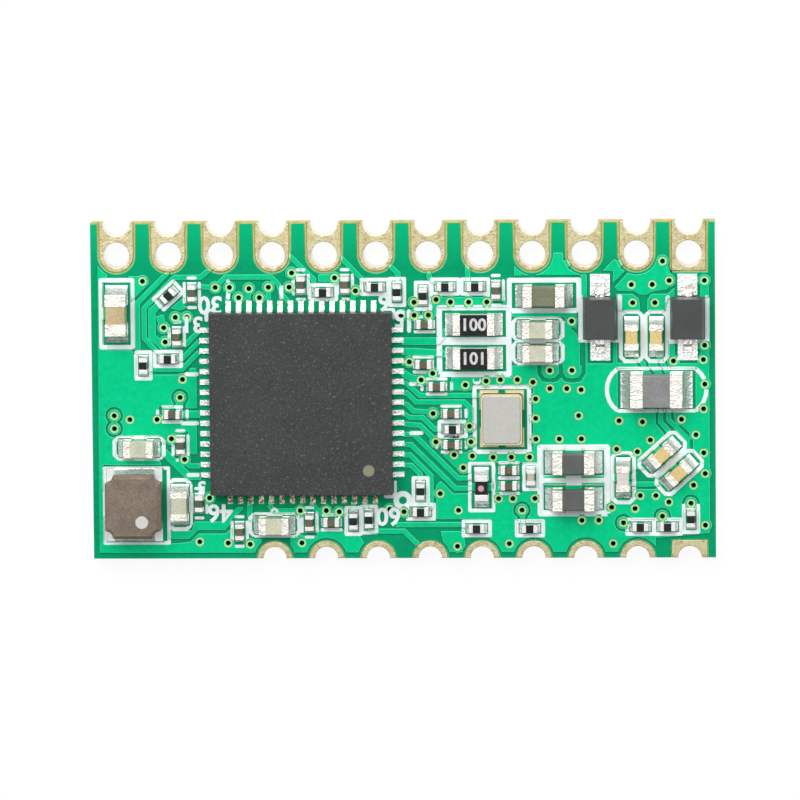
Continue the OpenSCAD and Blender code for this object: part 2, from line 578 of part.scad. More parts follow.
// Bare laminate, drilled for the header, the edge holes and the vias
module laminate() color("khaki") difference() {
    translate([-board_w / 2, lower_y, core_z]) cube([board_w, board_d, core_t]);
    header_cuts(plating_t);
    lower_cuts(plating_t);
    via_cuts(via_hole_d + 2 * plating_t);
}

// Mask on the underside, level with the lands there, closed under the vias
module solder_mask_bottom() color("seagreen") linear_extrude(core_z) difference() {
    film_plan();
    header_lands(header_margin);
    lower_lands(mask_margin);
}

// Mask on the upper face: a film on the laminate between the pads
module solder_mask_base() color("seagreen") translate([0, 0, face_z]) difference() {
    linear_extrude(mask_t) difference() {
        film_plan();
        header_lands(header_margin);
        lower_lands(mask_margin);
    }
    via_cuts(via_hole_d + 2 * plating_t);
}

// Etched copper on the upper face, with the lands
module top_copper() color("goldenrod") difference() {
    translate([0, 0, film_z]) linear_extrude(copper_t) offset(delta = 0) copper_plan();
    translate([0, 0, film_z - cut_over]) linear_extrude(copper_t + 2 * cut_over) header_lands();
    translate([0, 0, film_z - cut_over]) linear_extrude(copper_t + 2 * cut_over) lower_lands();
    via_cuts(via_hole_d + 2 * plating_t);
}

// Mask over the copper, open at the lands and vias
module solder_mask_top() color("mediumseagreen") difference() {
    translate([0, 0, land_z]) linear_extrude(mask_t) offset(delta = 0) difference() {
        copper_plan();
        offset(delta = mask_margin) part_lands();
        header_lands(header_margin);
        lower_lands(mask_margin);
    }
    via_cuts(via_open_d);
}

// Header pads: lands on both faces joined by the plated hole and the plated half hole
module header_pads() color("wheat") difference() {
    union() {
        linear_extrude(core_z) header_lands();
        translate([0, 0, face_z]) linear_extrude(land_z - face_z) header_lands();
        intersection() {
            translate([-board_w / 2, lower_y, 0]) cube([board_w, board_d, land_z]);
            for (x = header_x) {
                translate([x, hole_y, 0]) cylinder(d = hole_d + 2 * plating_t, h = land_z);
                translate([x, header_y, 0]) cylinder(d = edge_hole_d + 2 * plating_t, h = land_z);
            }
        }
    }
    header_cuts();
}

// Lower pads: half rings on both faces joined by the plated half hole
module lower_pads() color("wheat") difference() {
    union() {
        linear_extrude(core_z) lower_lands();
        translate([0, 0, face_z]) linear_extrude(land_z - face_z) lower_lands();
        intersection() {
            translate([-board_w / 2, lower_y, 0]) cube([board_w, board_d, land_z]);
            for (x = lower_x) translate([x, lower_y, 0])
                cylinder(d = lower_hole_d + 2 * plating_t, h = land_z);
        }
    }
    lower_cuts();
}

// Plated tubes of the vias
module via_barrels() color("darkgoldenrod") for (at = all_vias)
    translate([at[0], at[1], core_z]) rotate_extrude()
        translate([via_hole_d / 2, 0]) square([plating_t, land_z - core_z]);

// Solder: a layer under each terminal and a concave toe up the end of its part
module joint(back, reach, rise, w) rotate([90, 0, 0]) linear_extrude(w, center = true)
    polygon(joint_profile(back, reach, rise));
module solder_joints() color("silver") {
    for (part = two_end_parts) place(part[1], land_z) both_ends() translate([part[0][0] / 2, 0, 0])
        joint(part[0][3], part[0][4], part[0][2] * toe_share, part[0][5]);
    translate([0, 0, land_z]) controller_sides() joint(lead_l, lead_toe, lead_t * lead_toe_share, lead_w);
    place(controller_at, land_z) block([ground_pad_w, ground_pad_w, joint_t]);
    translate([0, 0, land_z]) crystal_corners() block([crystal_pad_w, crystal_pad_d, joint_t]);
    for (side = [-1, 1]) translate([inductor_at[0], inductor_at[1] + side * inductor_d / 2, land_z])
        rotate(side * 90) joint(inductor_end_l, inductor_land_reach, inductor_toe,
            inductor_w - 2 * notch_r);
    for (at = [left_diode_at, right_diode_at]) translate([0, 0, land_z]) linear_extrude(joint_t)
        diode_lands(at);
}

// Controller: moulded package with leads and a ground pad let into its underside
module controller_body() color("dimgray") difference() {
    place(controller_at) block([controller_w, controller_w, controller_h]);
    lead_frame();
    place(controller_at) block([ground_pad_w, ground_pad_w, lead_t]);
    translate([controller_at[0] + controller_dot_at[0], controller_at[1] + controller_dot_at[1],
        seat_z + controller_h - dot_depth]) cylinder(d = dot_d, h = cut_over);
}
module lead_frame() translate([0, 0, seat_z]) controller_sides()
    translate([-lead_l, -lead_w / 2, 0]) cube([lead_l, lead_w, lead_t]);
module controller_leads() color("lightgray") lead_frame();
module controller_ground_pad() color("lightgray") place(controller_at)
    block([ground_pad_w, ground_pad_w, lead_t]);

// Crystal: ceramic base with notched corners, a gold seal ring and a welded lid
seal_margin = 0.02;
seal_w = 0.07;
seal_corner = 0.16;
corner_notch_r = 0.1;
module rounded(w, d, r) offset(r = r) square([w - 2 * r, d - 2 * r], center = true);
module crystal_base() color("saddlebrown") place(crystal_at) difference() {
    block([crystal_w, crystal_d, crystal_base_h]);
    for (x = [-1, 1], y = [-1, 1]) translate([x * crystal_w / 2, y * crystal_d / 2, -cut_over])
        cylinder(r = corner_notch_r, h = crystal_base_h + 2 * cut_over);
}
module crystal_seal_ring() color("gold") place(crystal_at, seat_z + crystal_base_h) linear_extrude(seal_h)
    rounded(crystal_w - 2 * seal_margin, crystal_d - 2 * seal_margin, seal_corner);
module crystal_lid() color("gainsboro") place(crystal_at, seat_z + crystal_base_h + seal_h)
    linear_extrude(lid_t) rounded(crystal_w - 2 * seal_w, crystal_d - 2 * seal_w, seal_corner);

// Inductor: pressed core with notched corners, a flat top within a bevelled rim and end terminals below
rim_h = 0.1;
rim_w = 0.09;
terminal_t = 0.08;
module inductor_plan(shrink = 0) difference() {
    square([inductor_w - 2 * shrink, inductor_d - 2 * shrink], center = true);
    for (x = [-1, 1], y = [-1, 1]) translate([x * inductor_w / 2, y * inductor_d / 2])
        circle(r = notch_r + shrink);
}
module inductor_core() color("rosybrown") place(inductor_at, seat_z + terminal_t) {
    linear_extrude(inductor_h - terminal_t - rim_h) inductor_plan();
    translate([0, 0, inductor_h - terminal_t - rim_h]) linear_extrude(rim_h) inductor_plan(rim_w);
}
module inductor_terminals() color("silver") place(inductor_at) linear_extrude(terminal_t) intersection() {
    inductor_plan();
    for (side = [-1, 1]) translate([0, side * (inductor_d - inductor_end_l) / 2])
        square([inductor_w, inductor_end_l], center = true);
}

// Diodes: moulded bodies with drafted sides and bent leads that leave at half height
draft = 0.07;
diode_gap = 0.05;
lead_rise = 0.42;
diode_half_h = (diode_h - diode_gap) / 2;
lead_root = 0.2;
lead_shoulder = 0.14;
lead_drop = 0.1;
function diode_lead_path() = [
    [diode_d / 2 - lead_root, lead_rise], [diode_d / 2 + lead_shoulder, lead_rise],
    [diode_d / 2 + lead_shoulder + lead_drop, diode_lead_t / 2],
    [diode_d / 2 + lead_shoulder + lead_drop + diode_foot, diode_lead_t / 2]];
module diode_leads(at) place(at) for (turn = [90, 270]) rotate(turn) rotate([90, 0, 0])
    linear_extrude(diode_lead_w, center = true) polygon(ribbon(diode_lead_path(), diode_lead_t));
function drafted(w) = [[-w / 2 + draft, 0], [w / 2 - draft, 0], [w / 2, diode_half_h],
    [w / 2 - draft, 2 * diode_half_h], [-w / 2 + draft, 2 * diode_half_h], [-w / 2, diode_half_h]];
module diode_body(at) difference() {
    place(at, seat_z + diode_gap) intersection() {
        rotate([90, 0, 0]) linear_extrude(diode_d, center = true) polygon(drafted(diode_w));
        rotate([90, 0, 90]) linear_extrude(diode_w, center = true) polygon(drafted(diode_d));
    }
    diode_leads(at);
}
module left_diode_body() color("dimgray") diode_body(left_diode_at);
module left_diode_leads() color("silver") diode_leads(left_diode_at);
module right_diode_body() color("dimgray") diode_body(right_diode_at);
module right_diode_leads() color("silver") diode_leads(right_diode_at);

// Chip capacitors, beads and ferrites: a sintered block inside two end caps
module chip_body(s) block([s[0] - 2 * wrap_t, s[1] - 2 * wrap_t, s[2] - 2 * wrap_t], wrap_t);
module end_caps(s) difference() {
    both_ends() translate([s[0] / 2 - s[3], -s[1] / 2, 0]) cube([s[3], s[1], s[2]]);
    chip_body(s);
}

// Chip resistors: a ceramic plate inside two U-shaped terminals, coated on top between them
module resistor_plate(s) block([s[0] - 2 * wrap_t, s[1], s[2] - 2 * wrap_t], wrap_t);
module resistor_ends(s) difference() {
    both_ends() translate([s[0] / 2 - s[3], -s[1] / 2, 0]) cube([s[3], s[1], s[2]]);
    translate([0, 0, wrap_t]) block([s[0] - 2 * wrap_t, s[1] + cut_over, s[2] - 2 * wrap_t]);
}
module resistor_coat(s) block([s[0] - 2 * s[3], s[1], coat_t], s[2] - wrap_t);

module line_ferrite_body() color("gray") place(ferrite_at) chip_body(ferrite);
module line_ferrite_terminals() color("silver") place(ferrite_at) end_caps(ferrite);
module upper_bead_body() color("gray") place(upper_bead_at) chip_body(bead);
module upper_bead_terminals() color("silver") place(upper_bead_at) end_caps(bead);
module lower_bead_body() color("gray") place(lower_bead_at) chip_body(bead);
module lower_bead_terminals() color("silver") place(lower_bead_at) end_caps(bead);
module upper_resistor_body() color("ivory") place(upper_resistor_at) resistor_plate(chip_res);
module upper_resistor_terminals() color("silver") place(upper_resistor_at) resistor_ends(chip_res);
module lower_resistor_body() color("ivory") place(lower_resistor_at) resistor_plate(chip_res);
module lower_resistor_terminals() color("silver") place(lower_resistor_at) resistor_ends(chip_res);
module coded_resistor_coats() color("black") for (p = [upper_resistor_at, lower_resistor_at])
    place(p) resistor_coat(chip_res);
module inlet_capacitor_body() color("burlywood") place(inlet_capacitor_at) chip_body(inlet_cap);
module inlet_capacitor_terminals() color("silver") place(inlet_capacitor_at) end_caps(inlet_cap);
module outlet_capacitor_body() color("darkkhaki") place(outlet_capacitor_at) chip_body(outlet_cap);
module outlet_capacitor_terminals() color("silver") place(outlet_capacitor_at) end_caps(outlet_cap);
module filter_capacitor(i) color("tan") place(thick_at[i]) chip_body(thick_cap);
module supply_capacitor(i) color("lightgray") place(thick_at[i]) chip_body(thick_cap);
module coupling_capacitor(i) color("burlywood") place(small_at[i]) chip_body(small_cap);
module bead_capacitor() color("mistyrose") place(small_at[4]) chip_body(small_cap);
module small_capacitor_terminals() color("silver") {
    for (p = thick_at) place(p) end_caps(thick_cap);
    for (p = small_at) place(p) end_caps(small_cap);
}
module tiny_capacitor_bodies() color("peru") for (p = tiny_caps_at) place(p) chip_body(tiny_cap);
module tiny_capacitor_terminals() color("silver") for (p = tiny_caps_at) place(p) end_caps(tiny_cap);
module tiny_resistor_bodies() color("ivory") for (p = tiny_res_at) place(p) resistor_plate(tiny_res);
module tiny_resistor_terminals() color("silver") for (p = tiny_res_at) place(p) resistor_ends(tiny_res);
module tiny_resistor_coats() color("black") for (p = tiny_res_at) place(p) resistor_coat(tiny_res);

// Indicator lamp: a dark moulding between two terminals with a clear window in its top
window_w = 0.27;
window_t = 0.1;
module lamp_window() color("salmon") place(lamp_at, seat_z + lamp_h - wrap_t - window_t)
    block([window_w, window_w, window_t]);
module lamp_body() color("black") difference() {
    place(lamp_at) chip_body(lamp);
    lamp_window();
}
module lamp_terminals() color("silver") place(lamp_at) end_caps(lamp);

laminate();
solder_mask_bottom();
solder_mask_base();
top_copper();
solder_mask_top();
header_pads();
lower_pads();
via_barrels();
solder_joints();
controller_body();
controller_leads();
controller_ground_pad();
crystal_base();
crystal_seal_ring();
crystal_lid();
inductor_core();
inductor_terminals();
left_diode_body();
left_diode_leads();
right_diode_body();
right_diode_leads();
line_ferrite_body();
line_ferrite_terminals();
upper_bead_body();
upper_bead_terminals();
lower_bead_body();
lower_bead_terminals();
upper_resistor_body();
upper_resistor_terminals();
lower_resistor_body();
lower_resistor_terminals();
coded_resistor_coats();
inlet_capacitor_body();
inlet_capacitor_terminals();
outlet_capacitor_body();
outlet_capacitor_terminals();
filter_capacitor(0);  // filter_capacitor_1
filter_capacitor(1);  // filter_capacitor_2
coupling_capacitor(0);  // coupling_capacitor_1
coupling_capacitor(1);  // coupling_capacitor_2
coupling_capacitor(2);  // coupling_capacitor_3
coupling_capacitor(3);  // coupling_capacitor_4
supply_capacitor(2);  // supply_capacitor_1
supply_capacitor(3);  // supply_capacitor_2
supply_capacitor(4);  // supply_capacitor_3
bead_capacitor();
small_capacitor_terminals();
lamp_body();
lamp_window();
lamp_terminals();
tiny_capacitor_bodies();
tiny_capacitor_terminals();
tiny_resistor_bodies();
tiny_resistor_terminals();
tiny_resistor_coats();
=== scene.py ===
import math
from itertools import count
import bmesh
import bpy
from mathutils import Matrix, Vector
from mathutils.bvhtree import BVHTree


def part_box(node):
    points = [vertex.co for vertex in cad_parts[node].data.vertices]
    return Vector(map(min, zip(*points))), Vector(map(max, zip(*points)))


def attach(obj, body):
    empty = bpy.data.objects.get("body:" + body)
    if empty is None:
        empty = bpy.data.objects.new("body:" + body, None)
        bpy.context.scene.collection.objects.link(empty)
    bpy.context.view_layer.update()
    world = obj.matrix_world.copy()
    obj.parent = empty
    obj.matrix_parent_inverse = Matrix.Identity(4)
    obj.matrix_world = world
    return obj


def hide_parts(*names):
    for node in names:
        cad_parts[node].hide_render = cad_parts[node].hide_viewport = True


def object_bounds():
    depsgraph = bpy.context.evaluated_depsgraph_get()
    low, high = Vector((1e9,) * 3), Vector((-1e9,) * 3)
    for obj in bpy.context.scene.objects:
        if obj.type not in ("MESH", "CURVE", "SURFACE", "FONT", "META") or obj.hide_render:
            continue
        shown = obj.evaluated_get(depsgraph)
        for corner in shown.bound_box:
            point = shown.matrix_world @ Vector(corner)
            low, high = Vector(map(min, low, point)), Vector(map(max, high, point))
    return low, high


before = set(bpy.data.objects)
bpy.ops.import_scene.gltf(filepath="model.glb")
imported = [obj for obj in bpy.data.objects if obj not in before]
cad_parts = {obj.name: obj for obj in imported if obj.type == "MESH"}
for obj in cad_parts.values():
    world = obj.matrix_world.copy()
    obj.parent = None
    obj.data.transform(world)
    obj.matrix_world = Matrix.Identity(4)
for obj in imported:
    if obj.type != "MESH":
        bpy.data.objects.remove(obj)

cad_low, cad_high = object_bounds()


# Bare board: a sheet of woven glass set in straw coloured resin, sawn to size and drilled.
# It shows at the sawn edges, in the hole walls and in the bare strip round the header pads.
def node_in(tree, kind, **settings):
    """A shader node of that kind with its settings."""
    node = tree.nodes.new("ShaderNode" + kind)
    for key, value in settings.items():
        setattr(node, key, value)
    return node


def feed(tree, socket, value):
    """Links an output to a socket, or sets a plain value on it."""
    if isinstance(value, bpy.types.NodeSocket):
        tree.links.new(value, socket)
    else:
        socket.default_value = value


def maths_in(tree, how, *values):
    """The result of a sum on numbers or outputs."""
    node = node_in(tree, "Math", operation=how)
    for socket, value in zip(node.inputs, values):
        feed(tree, socket, value)
    return node.outputs[0]


def place_in(tree):
    """The piece's own coordinates, in metres."""
    return node_in(tree, "TexCoord").outputs["Object"]


def noise_in(tree, scale, detail):
    """A noise value over the piece's own coordinates."""
    noise = node_in(tree, "TexNoise")
    feed(tree, noise.inputs["Vector"], place_in(tree))
    feed(tree, noise.inputs["Scale"], scale)
    feed(tree, noise.inputs["Detail"], detail)
    return noise.outputs["Fac"]


def spread_in(tree, value, low, high, to_low, to_high):
    """A value stretched from one range to another and kept inside it."""
    spread = node_in(tree, "MapRange", clamp=True)
    for socket, number in zip(spread.inputs, (value, low, high, to_low, to_high)):
        feed(tree, socket, number)
    return spread.outputs["Result"]


def mix_in(tree, share, first, second, how="MIX"):
    """Two colours mixed by a share."""
    mix = node_in(tree, "Mix", data_type="RGBA", blend_type=how)
    feed(tree, mix.inputs["Factor"], share)
    for socket, colour in ((mix.inputs[6], first), (mix.inputs[7], second)):
        feed(tree, socket, colour if isinstance(colour, bpy.types.NodeSocket) else (*colour, 1.0))
    return mix.outputs[2]


def new_group(name, takes, gives):
    """A node group with named inputs and outputs, still empty inside."""
    group = bpy.data.node_groups.new(name, "ShaderNodeTree")
    for label, kind, value in takes:
        socket = group.interface.new_socket(label, in_out="INPUT", socket_type="NodeSocket" + kind)
        socket.default_value = value
    for label, kind in gives:
        group.interface.new_socket(label, in_out="OUTPUT", socket_type="NodeSocket" + kind)
    entry = group.nodes.new("NodeGroupInput")
    leave = group.nodes.new("NodeGroupOutput")
    return group, entry.outputs, leave.inputs


def placed(tree, group, **values):
    """A group's outputs in a material, with its own values. Names have spaces for underscores."""
    node = node_in(tree, "Group", node_tree=group)
    for key, value in values.items():
        node.inputs[key.replace("_", " ").capitalize()].default_value = value
    return node.outputs


mottle, takes, gives = new_group(
    "mottle",
    (
        ("Colour", "Color", (0.5, 0.5, 0.5, 1.0)),
        ("Second colour", "Color", (0.4, 0.4, 0.4, 1.0)),
        ("Patch scale", "Float", 1500.0),
        ("Grain scale", "Float", 20000.0),
        ("Grain depth", "Float", 0.3),
    ),
    (("Colour", "Color"), ("Patch", "Float"), ("Height", "Float")),
)
patch_relief = 0.6
patch = noise_in(mottle, takes["Patch scale"], 3.0)
grain = noise_in(mottle, takes["Grain scale"], 2.0)
second_share = spread_in(mottle, patch, 0.35, 0.65, 0.0, 1.0)
tint = mix_in(mottle, second_share, takes["Colour"], takes["Second colour"])
shade = spread_in(mottle, grain, 0.3, 0.7, 0.45, 1.4)
feed(mottle, gives["Colour"], mix_in(mottle, takes["Grain depth"], tint, shade, "MULTIPLY"))
feed(mottle, gives["Patch"], patch)
feed(mottle, gives["Height"], maths_in(mottle, "MULTIPLY_ADD", patch, patch_relief, grain))


def mottled(name, colour, second, patch, grain, depth, rough, bump, metallic=0.0, specular=0.5):
    """A finish whose tint, gloss and relief are uneven.

    Patch and grain are how fine its two noises are, depth is how far the grain darkens it, rough
    holds its smoothest and its roughest, and bump is its relief in metres.
    """
    finish = bpy.data.materials.new(name)
    finish.use_nodes = True
    tree = finish.node_tree
    shader = tree.nodes["Principled BSDF"]
    shader.inputs["Metallic"].default_value = metallic
    shader.inputs["Specular IOR Level"].default_value = specular
    uneven = placed(
        tree, mottle, colour=(*colour, 1.0), second_colour=(*second, 1.0),
        patch_scale=patch, grain_scale=grain, grain_depth=depth,
    )
    feed(tree, shader.inputs["Base Color"], uneven["Colour"])
    feed(tree, shader.inputs["Roughness"], spread_in(tree, uneven["Patch"], 0.3, 0.7, *rough))
    relief = node_in(tree, "Bump")
    relief.inputs["Strength"].default_value = 1.0
    relief.inputs["Distance"].default_value = bump
    feed(tree, relief.inputs["Height"], uneven["Height"])
    feed(tree, shader.inputs["Normal"], relief.outputs["Normal"])
    return finish


def repaint(finish, share, colour):
    """Lays a second colour over a finish where share is 1."""
    tree = finish.node_tree
    base = tree.nodes["Principled BSDF"].inputs["Base Color"]
    under = base.links[0].from_socket
    feed(tree, base, mix_in(tree, share, under, colour))


def dress(finish, *nodes):
    """Puts a finish on CAD nodes that show as they are."""
    for node in nodes:
        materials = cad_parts[node].data.materials
        materials.clear()
        materials.append(finish)


weave, takes, gives = new_group(
    "glass_weave", (("Threads", "Float", 9000.0),), (("Thread", "Float"),)
)
strands = []
for way in ("X", "Y"):
    wave = node_in(weave, "TexWave", bands_direction=way)
    feed(weave, wave.inputs["Vector"], place_in(weave))
    feed(weave, wave.inputs["Scale"], takes["Threads"])
    wave.inputs["Distortion"].default_value = 1.5
    strands.append(wave.outputs["Fac"])
feed(weave, gives["Thread"], maths_in(weave, "MULTIPLY", *strands))


def show_weave(finish, low, high, most, colour):
    """Lets the threads of the glass show in a finish, up to a share of their colour."""
    thread = placed(finish.node_tree, weave, threads=700.0)["Thread"]
    repaint(finish, spread_in(finish.node_tree, thread, low, high, 0.0, most), colour)


laminate = mottled(
    "bare_laminate", (0.62, 0.54, 0.16), (0.52, 0.45, 0.12),
    patch=900, grain=16000, depth=0.25, rough=(0.45, 0.65), bump=4e-6,
)
show_weave(laminate, 0.2, 0.9, 0.5, (0.68, 0.62, 0.24))
dress(laminate, "laminate")


# Lower films: a green resist is curtain coated over both faces of the sheet and baked.
# Over bare resin it lies flat and dark, with the weave of the glass just showing through.
mm = 1000
hair = 0.001
shading_scale = 1000
wall_slope = 0.5
mitre_limit = 0.5


def film_finish(name, colour, second):
    """Baked green resist with a faint weave and an orange peel skin."""
    finish = mottled(
        name, colour, second,
        patch=500, grain=5200, depth=0.12, rough=(0.22, 0.34), bump=5e-6, specular=0.05,
    )
    show_weave(finish, 0.3, 1.0, 0.12, tuple(min(1.0, part * 1.35) for part in colour))
    return finish


# Leaning faces, for painted highlights and painted shade on slopes.
slope_light_mask, takes, gives = new_group(
    "slopes",
    (("Low", "Float", 0.3), ("High", "Float", 0.6), ("Most", "Float", 1.0)),
    (("Share", "Float"),),
)
lean = node_in(slope_light_mask, "SeparateXYZ")
feed(slope_light_mask, lean.inputs[0], node_in(slope_light_mask, "NewGeometry").outputs["True Normal"])
level = maths_in(slope_light_mask, "ABSOLUTE", lean.outputs["Z"])
slope = spread_in(slope_light_mask, level, takes["Low"], takes["High"], takes["Most"], 0.0)
feed(slope_light_mask, gives["Share"], slope)


def paint_light_on_slopes(finish, low, high, most, colour):
    """Paints light or shade on a finish where its faces lean: a colour laid from most at low to none at
    high.
    """
    repaint(finish, placed(finish.node_tree, slope_light_mask, low=low, high=high, most=most)["Share"], colour)


def merged_copy(node):
    """A node's solids in millimetres, with their loose triangles joined into plain faces."""
    mesh = bmesh.new()
    mesh.from_mesh(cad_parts[node].data)
    bmesh.ops.scale(mesh, vec=(mm, mm, mm), verts=mesh.verts)
    bmesh.ops.remove_doubles(mesh, verts=mesh.verts, dist=1e-4)
    bmesh.ops.dissolve_limit(mesh, angle_limit=math.radians(0.5), verts=mesh.verts, edges=mesh.edges)
    mesh.normal_update()
    return mesh


def object_from(mesh, name):
    """Turns mesh work into an object in the scene."""
    data = bpy.data.meshes.new(name)
    mesh.to_mesh(data)
    mesh.free()
    made = bpy.data.objects.new(name, data)
    bpy.context.collection.objects.link(made)
    return made


def piece_from(mesh, name, slot, finish, *nodes, smooth=True):
    """Turns millimetre mesh work into a finished piece, in place of the nodes that it stands for.

    Smooth pieces are shaded at a thousand times that size, where their small faces can be weighed.
    """
    bmesh.ops.scale(mesh, vec=(shading_scale, shading_scale, shading_scale), verts=mesh.verts)
    for face in mesh.faces:
        face.smooth = smooth
    piece = object_from(mesh, name)
    if smooth:
        even = piece.modifiers.new("even_shading", "WEIGHTED_NORMAL")
        even.weight = 100
        shaded = piece.evaluated_get(bpy.context.evaluated_depsgraph_get())
        piece.data = bpy.data.meshes.new_from_object(shaded)
        piece.modifiers.clear()
    piece.data.transform(Matrix.Scale(1 / (mm * shading_scale), 4))
    piece.data.materials.append(finish)
    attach(piece, "root")
    if nodes:
        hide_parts(*nodes)


def walls_at(point):
    """Normals of the upright faces that meet at a point."""
    return [face.normal for face in point.link_faces if abs(face.normal.z) < wall_slope]


def mitred(walls, reach):
    """The step that takes a point out by reach from each of its walls."""
    out = sum(walls, Vector((0, 0, 0))).normalized()
    return out * reach / max(mitre_limit, out.dot(walls[0]))


film_lip = 0.035
edge_margin = 0.1
thins_from = 0.0047
thin_at = 0.0062
low_film = film_finish("green_film_on_resin", (0.002, 0.375, 0.16), (0.002, 0.34, 0.145))
# Painted highlight: the lip of the film is paler green where it leans; the upright walls get the plain
# film colour back.
paint_light_on_slopes(low_film, 0.92, 0.98, 0.7, (0.10, 0.68, 0.38))
paint_light_on_slopes(low_film, 0.10, 0.20, 1.0, (0.002, 0.36, 0.15))
tree = low_film.node_tree
across = node_in(tree, "SeparateXYZ")
feed(tree, across.inputs[0], place_in(tree))
thin = spread_in(tree, across.outputs["Y"], thins_from, thin_at, 0.0, 0.7)
repaint(low_film, thin, (0.003, 0.56, 0.24))
dress(low_film, "solder_mask_bottom")
sheet = merged_copy("solder_mask_base")
sheet_foot = min(point.co.z for point in sheet.verts)
outline = [(cad_low[axis] * mm + edge_margin, cad_high[axis] * mm - edge_margin) for axis in (0, 1)]
for point in sheet.verts:
    walls = walls_at(point)
    inside = all(low < point.co[axis] < high for axis, (low, high) in enumerate(outline))
    if walls and inside and point.co.z < sheet_foot + hair:
        point.co += mitred(walls, film_lip)
piece_from(sheet, "film_over_resin", "mask_low", low_film, "solder_mask_base", smooth=False)


# Foil and vias: etched copper, tinted by a thin film where the thick one leaves it open.
# The vias are drilled, plated through and half closed by the film, which leaves a pale green ring.
# The lands under the inductor are tinned and those under the crystal gilt.
paint_edge = 3e-5
inductor_lands = ((-0.0104, -0.0044), (0.0013, 0.0014))
crystal_lands = ((0.0038, -0.0011), (0.0011, 0.0013))
box_mask, takes, gives = new_group(
    "box_in_plan",
    (("Middle", "Vector", (0, 0, 0)), ("Half", "Vector", (0, 0, 0))),
    (("Share", "Float"),),
)
offset = node_in(box_mask, "VectorMath", operation="SUBTRACT")
feed(box_mask, offset.inputs[0], place_in(box_mask))
feed(box_mask, offset.inputs[1], takes["Middle"])
away = node_in(box_mask, "VectorMath", operation="ABSOLUTE")
feed(box_mask, away.inputs[0], offset.outputs["Vector"])
distance = node_in(box_mask, "SeparateXYZ")
feed(box_mask, distance.inputs[0], away.outputs["Vector"])
reach = node_in(box_mask, "SeparateXYZ")
feed(box_mask, reach.inputs[0], takes["Half"])
sides = []
for axis in ("X", "Y"):
    brim = maths_in(box_mask, "ADD", reach.outputs[axis], paint_edge)
    sides.append(spread_in(box_mask, distance.outputs[axis], reach.outputs[axis], brim, 1.0, 0.0))
feed(box_mask, gives["Share"], maths_in(box_mask, "MULTIPLY", *sides))


def paint_box(finish, middle, half, colour):
    """Lays a colour on a finish inside a box in plan, the same at every height."""
    box = placed(finish.node_tree, box_mask, middle=(*middle, 0), half=(*half, 0))
    repaint(finish, box["Share"], colour)


thin_film = mottled(
    "thinly_filmed_foil", (0.42, 0.84, 0.44), (0.46, 0.68, 0.30),
    patch=350, grain=20000, depth=0.3, rough=(0.40, 0.6), bump=3e-6, metallic=1.0,
)
paint_box(thin_film, *inductor_lands, (0.80, 0.82, 0.80))
paint_box(thin_film, *crystal_lands, (0.78, 0.68, 0.40))
dress(thin_film, "top_copper", "via_barrels", "controller_ground_pad")


# Raised film: the same resist where it runs over the foil, lighter because metal backs it.
# It slopes down over the foil's etched edges on to the lower film, with a painted highlight where it
# starts to lean and painted shade on the steeper slope.
film_slope = 0.045
film_shoulder = 0.025
film_edge = 1.008
film_foot = 0.957
land_lip = 0.4
sky = 9


def hit_below(tree, x, y):
    """Where a line straight down from above all the parts meets a mesh, or None."""
    return tree.ray_cast(Vector((x, y, sky)), Vector((0, 0, -1)))[0]


copper_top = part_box("top_copper")[1].z * mm
copper = merged_copy("top_copper")
foil = BVHTree.FromBMesh(copper)
copper.free()
raised = merged_copy("solder_mask_top")
whole = raised.verts[:] + raised.edges[:] + raised.faces[:]
bmesh.ops.bisect_plane(raised, geom=whole, plane_co=(0, 0, film_edge), plane_no=(0, 0, 1))
for point in raised.verts:
    walls = walls_at(point)
    foot = point.co.z < film_edge - hair
    if not walls or point.co.z > film_edge + hair:
        continue
    step = mitred(walls, film_slope if foot else film_shoulder)
    beyond = point.co + step
    on_land = hit_below(foil, beyond.x, beyond.y)
    point.co += step * (land_lip if on_land else 1.0)
    if foot:
        point.co.z = copper_top + hair if on_land else film_foot
raised.normal_update()
relief = raised.copy()
high_film = film_finish("green_film_on_foil", (0.003, 0.66, 0.282), (0.002, 0.62, 0.262))
# Painted highlight on the shoulders where the film starts to lean, and painted shade on its steeper
# slopes.
paint_light_on_slopes(high_film, 0.92, 0.98, 0.8, (0.11, 0.76, 0.46))
paint_light_on_slopes(high_film, 0.60, 0.75, 0.9, (0.002, 0.20, 0.10))
piece_from(raised, "film_over_foil", "mask_high", high_film, "solder_mask_top", smooth=False)


# Pads: thick lands along both long edges, plated through their holes and half holes.
# They are tinned by hand, so the gold is pale, uneven and stained brown in places; their walls and
# rounded rims carry a near white painted highlight.
sharp_turn = 0.5
speck_mask, takes, gives = new_group(
    "specks",
    (
        ("Scale", "Float", 9000.0),
        ("Detail", "Float", 1.0),
        ("Low", "Float", 0.3),
        ("High", "Float", 0.4),
        ("Below", "Float", 1.0),
        ("Above", "Float", 0.0),
    ),
    (("Share", "Float"),),
)
noise = noise_in(speck_mask, takes["Scale"], takes["Detail"])
limits = [takes[label] for label in ("Low", "High", "Below", "Above")]
feed(speck_mask, gives["Share"], spread_in(speck_mask, noise, *limits))


def rounded(node, name, slot, finish, radius, segments=2, rims_only=False):
    """A node's solids with their sharp edges rounded over, in place of the node.

    With rims_only that is the edges round its top and its underside, and thin walls stay sharp.
    """
    mesh = merged_copy(node)
    sharp = [e for e in mesh.edges if len(e.link_faces) == 2 and e.calc_face_angle() > sharp_turn]
    if rims_only:
        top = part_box(node)[1].z * mm
        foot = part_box(node)[0].z * mm
        heights = [[v.co.z for v in e.verts] for e in sharp]
        on_rim = [min(z) > top - hair or max(z) < foot + hair for z in heights]
        sharp = [e for e, keep in zip(sharp, on_rim) if keep]
    bmesh.ops.bevel(
        mesh, geom=sharp, offset=radius, offset_type="OFFSET", segments=segments,
        profile=0.5, affect="EDGES", clamp_overlap=True, material=-1,
    )
    piece_from(mesh, name, slot, finish, node)


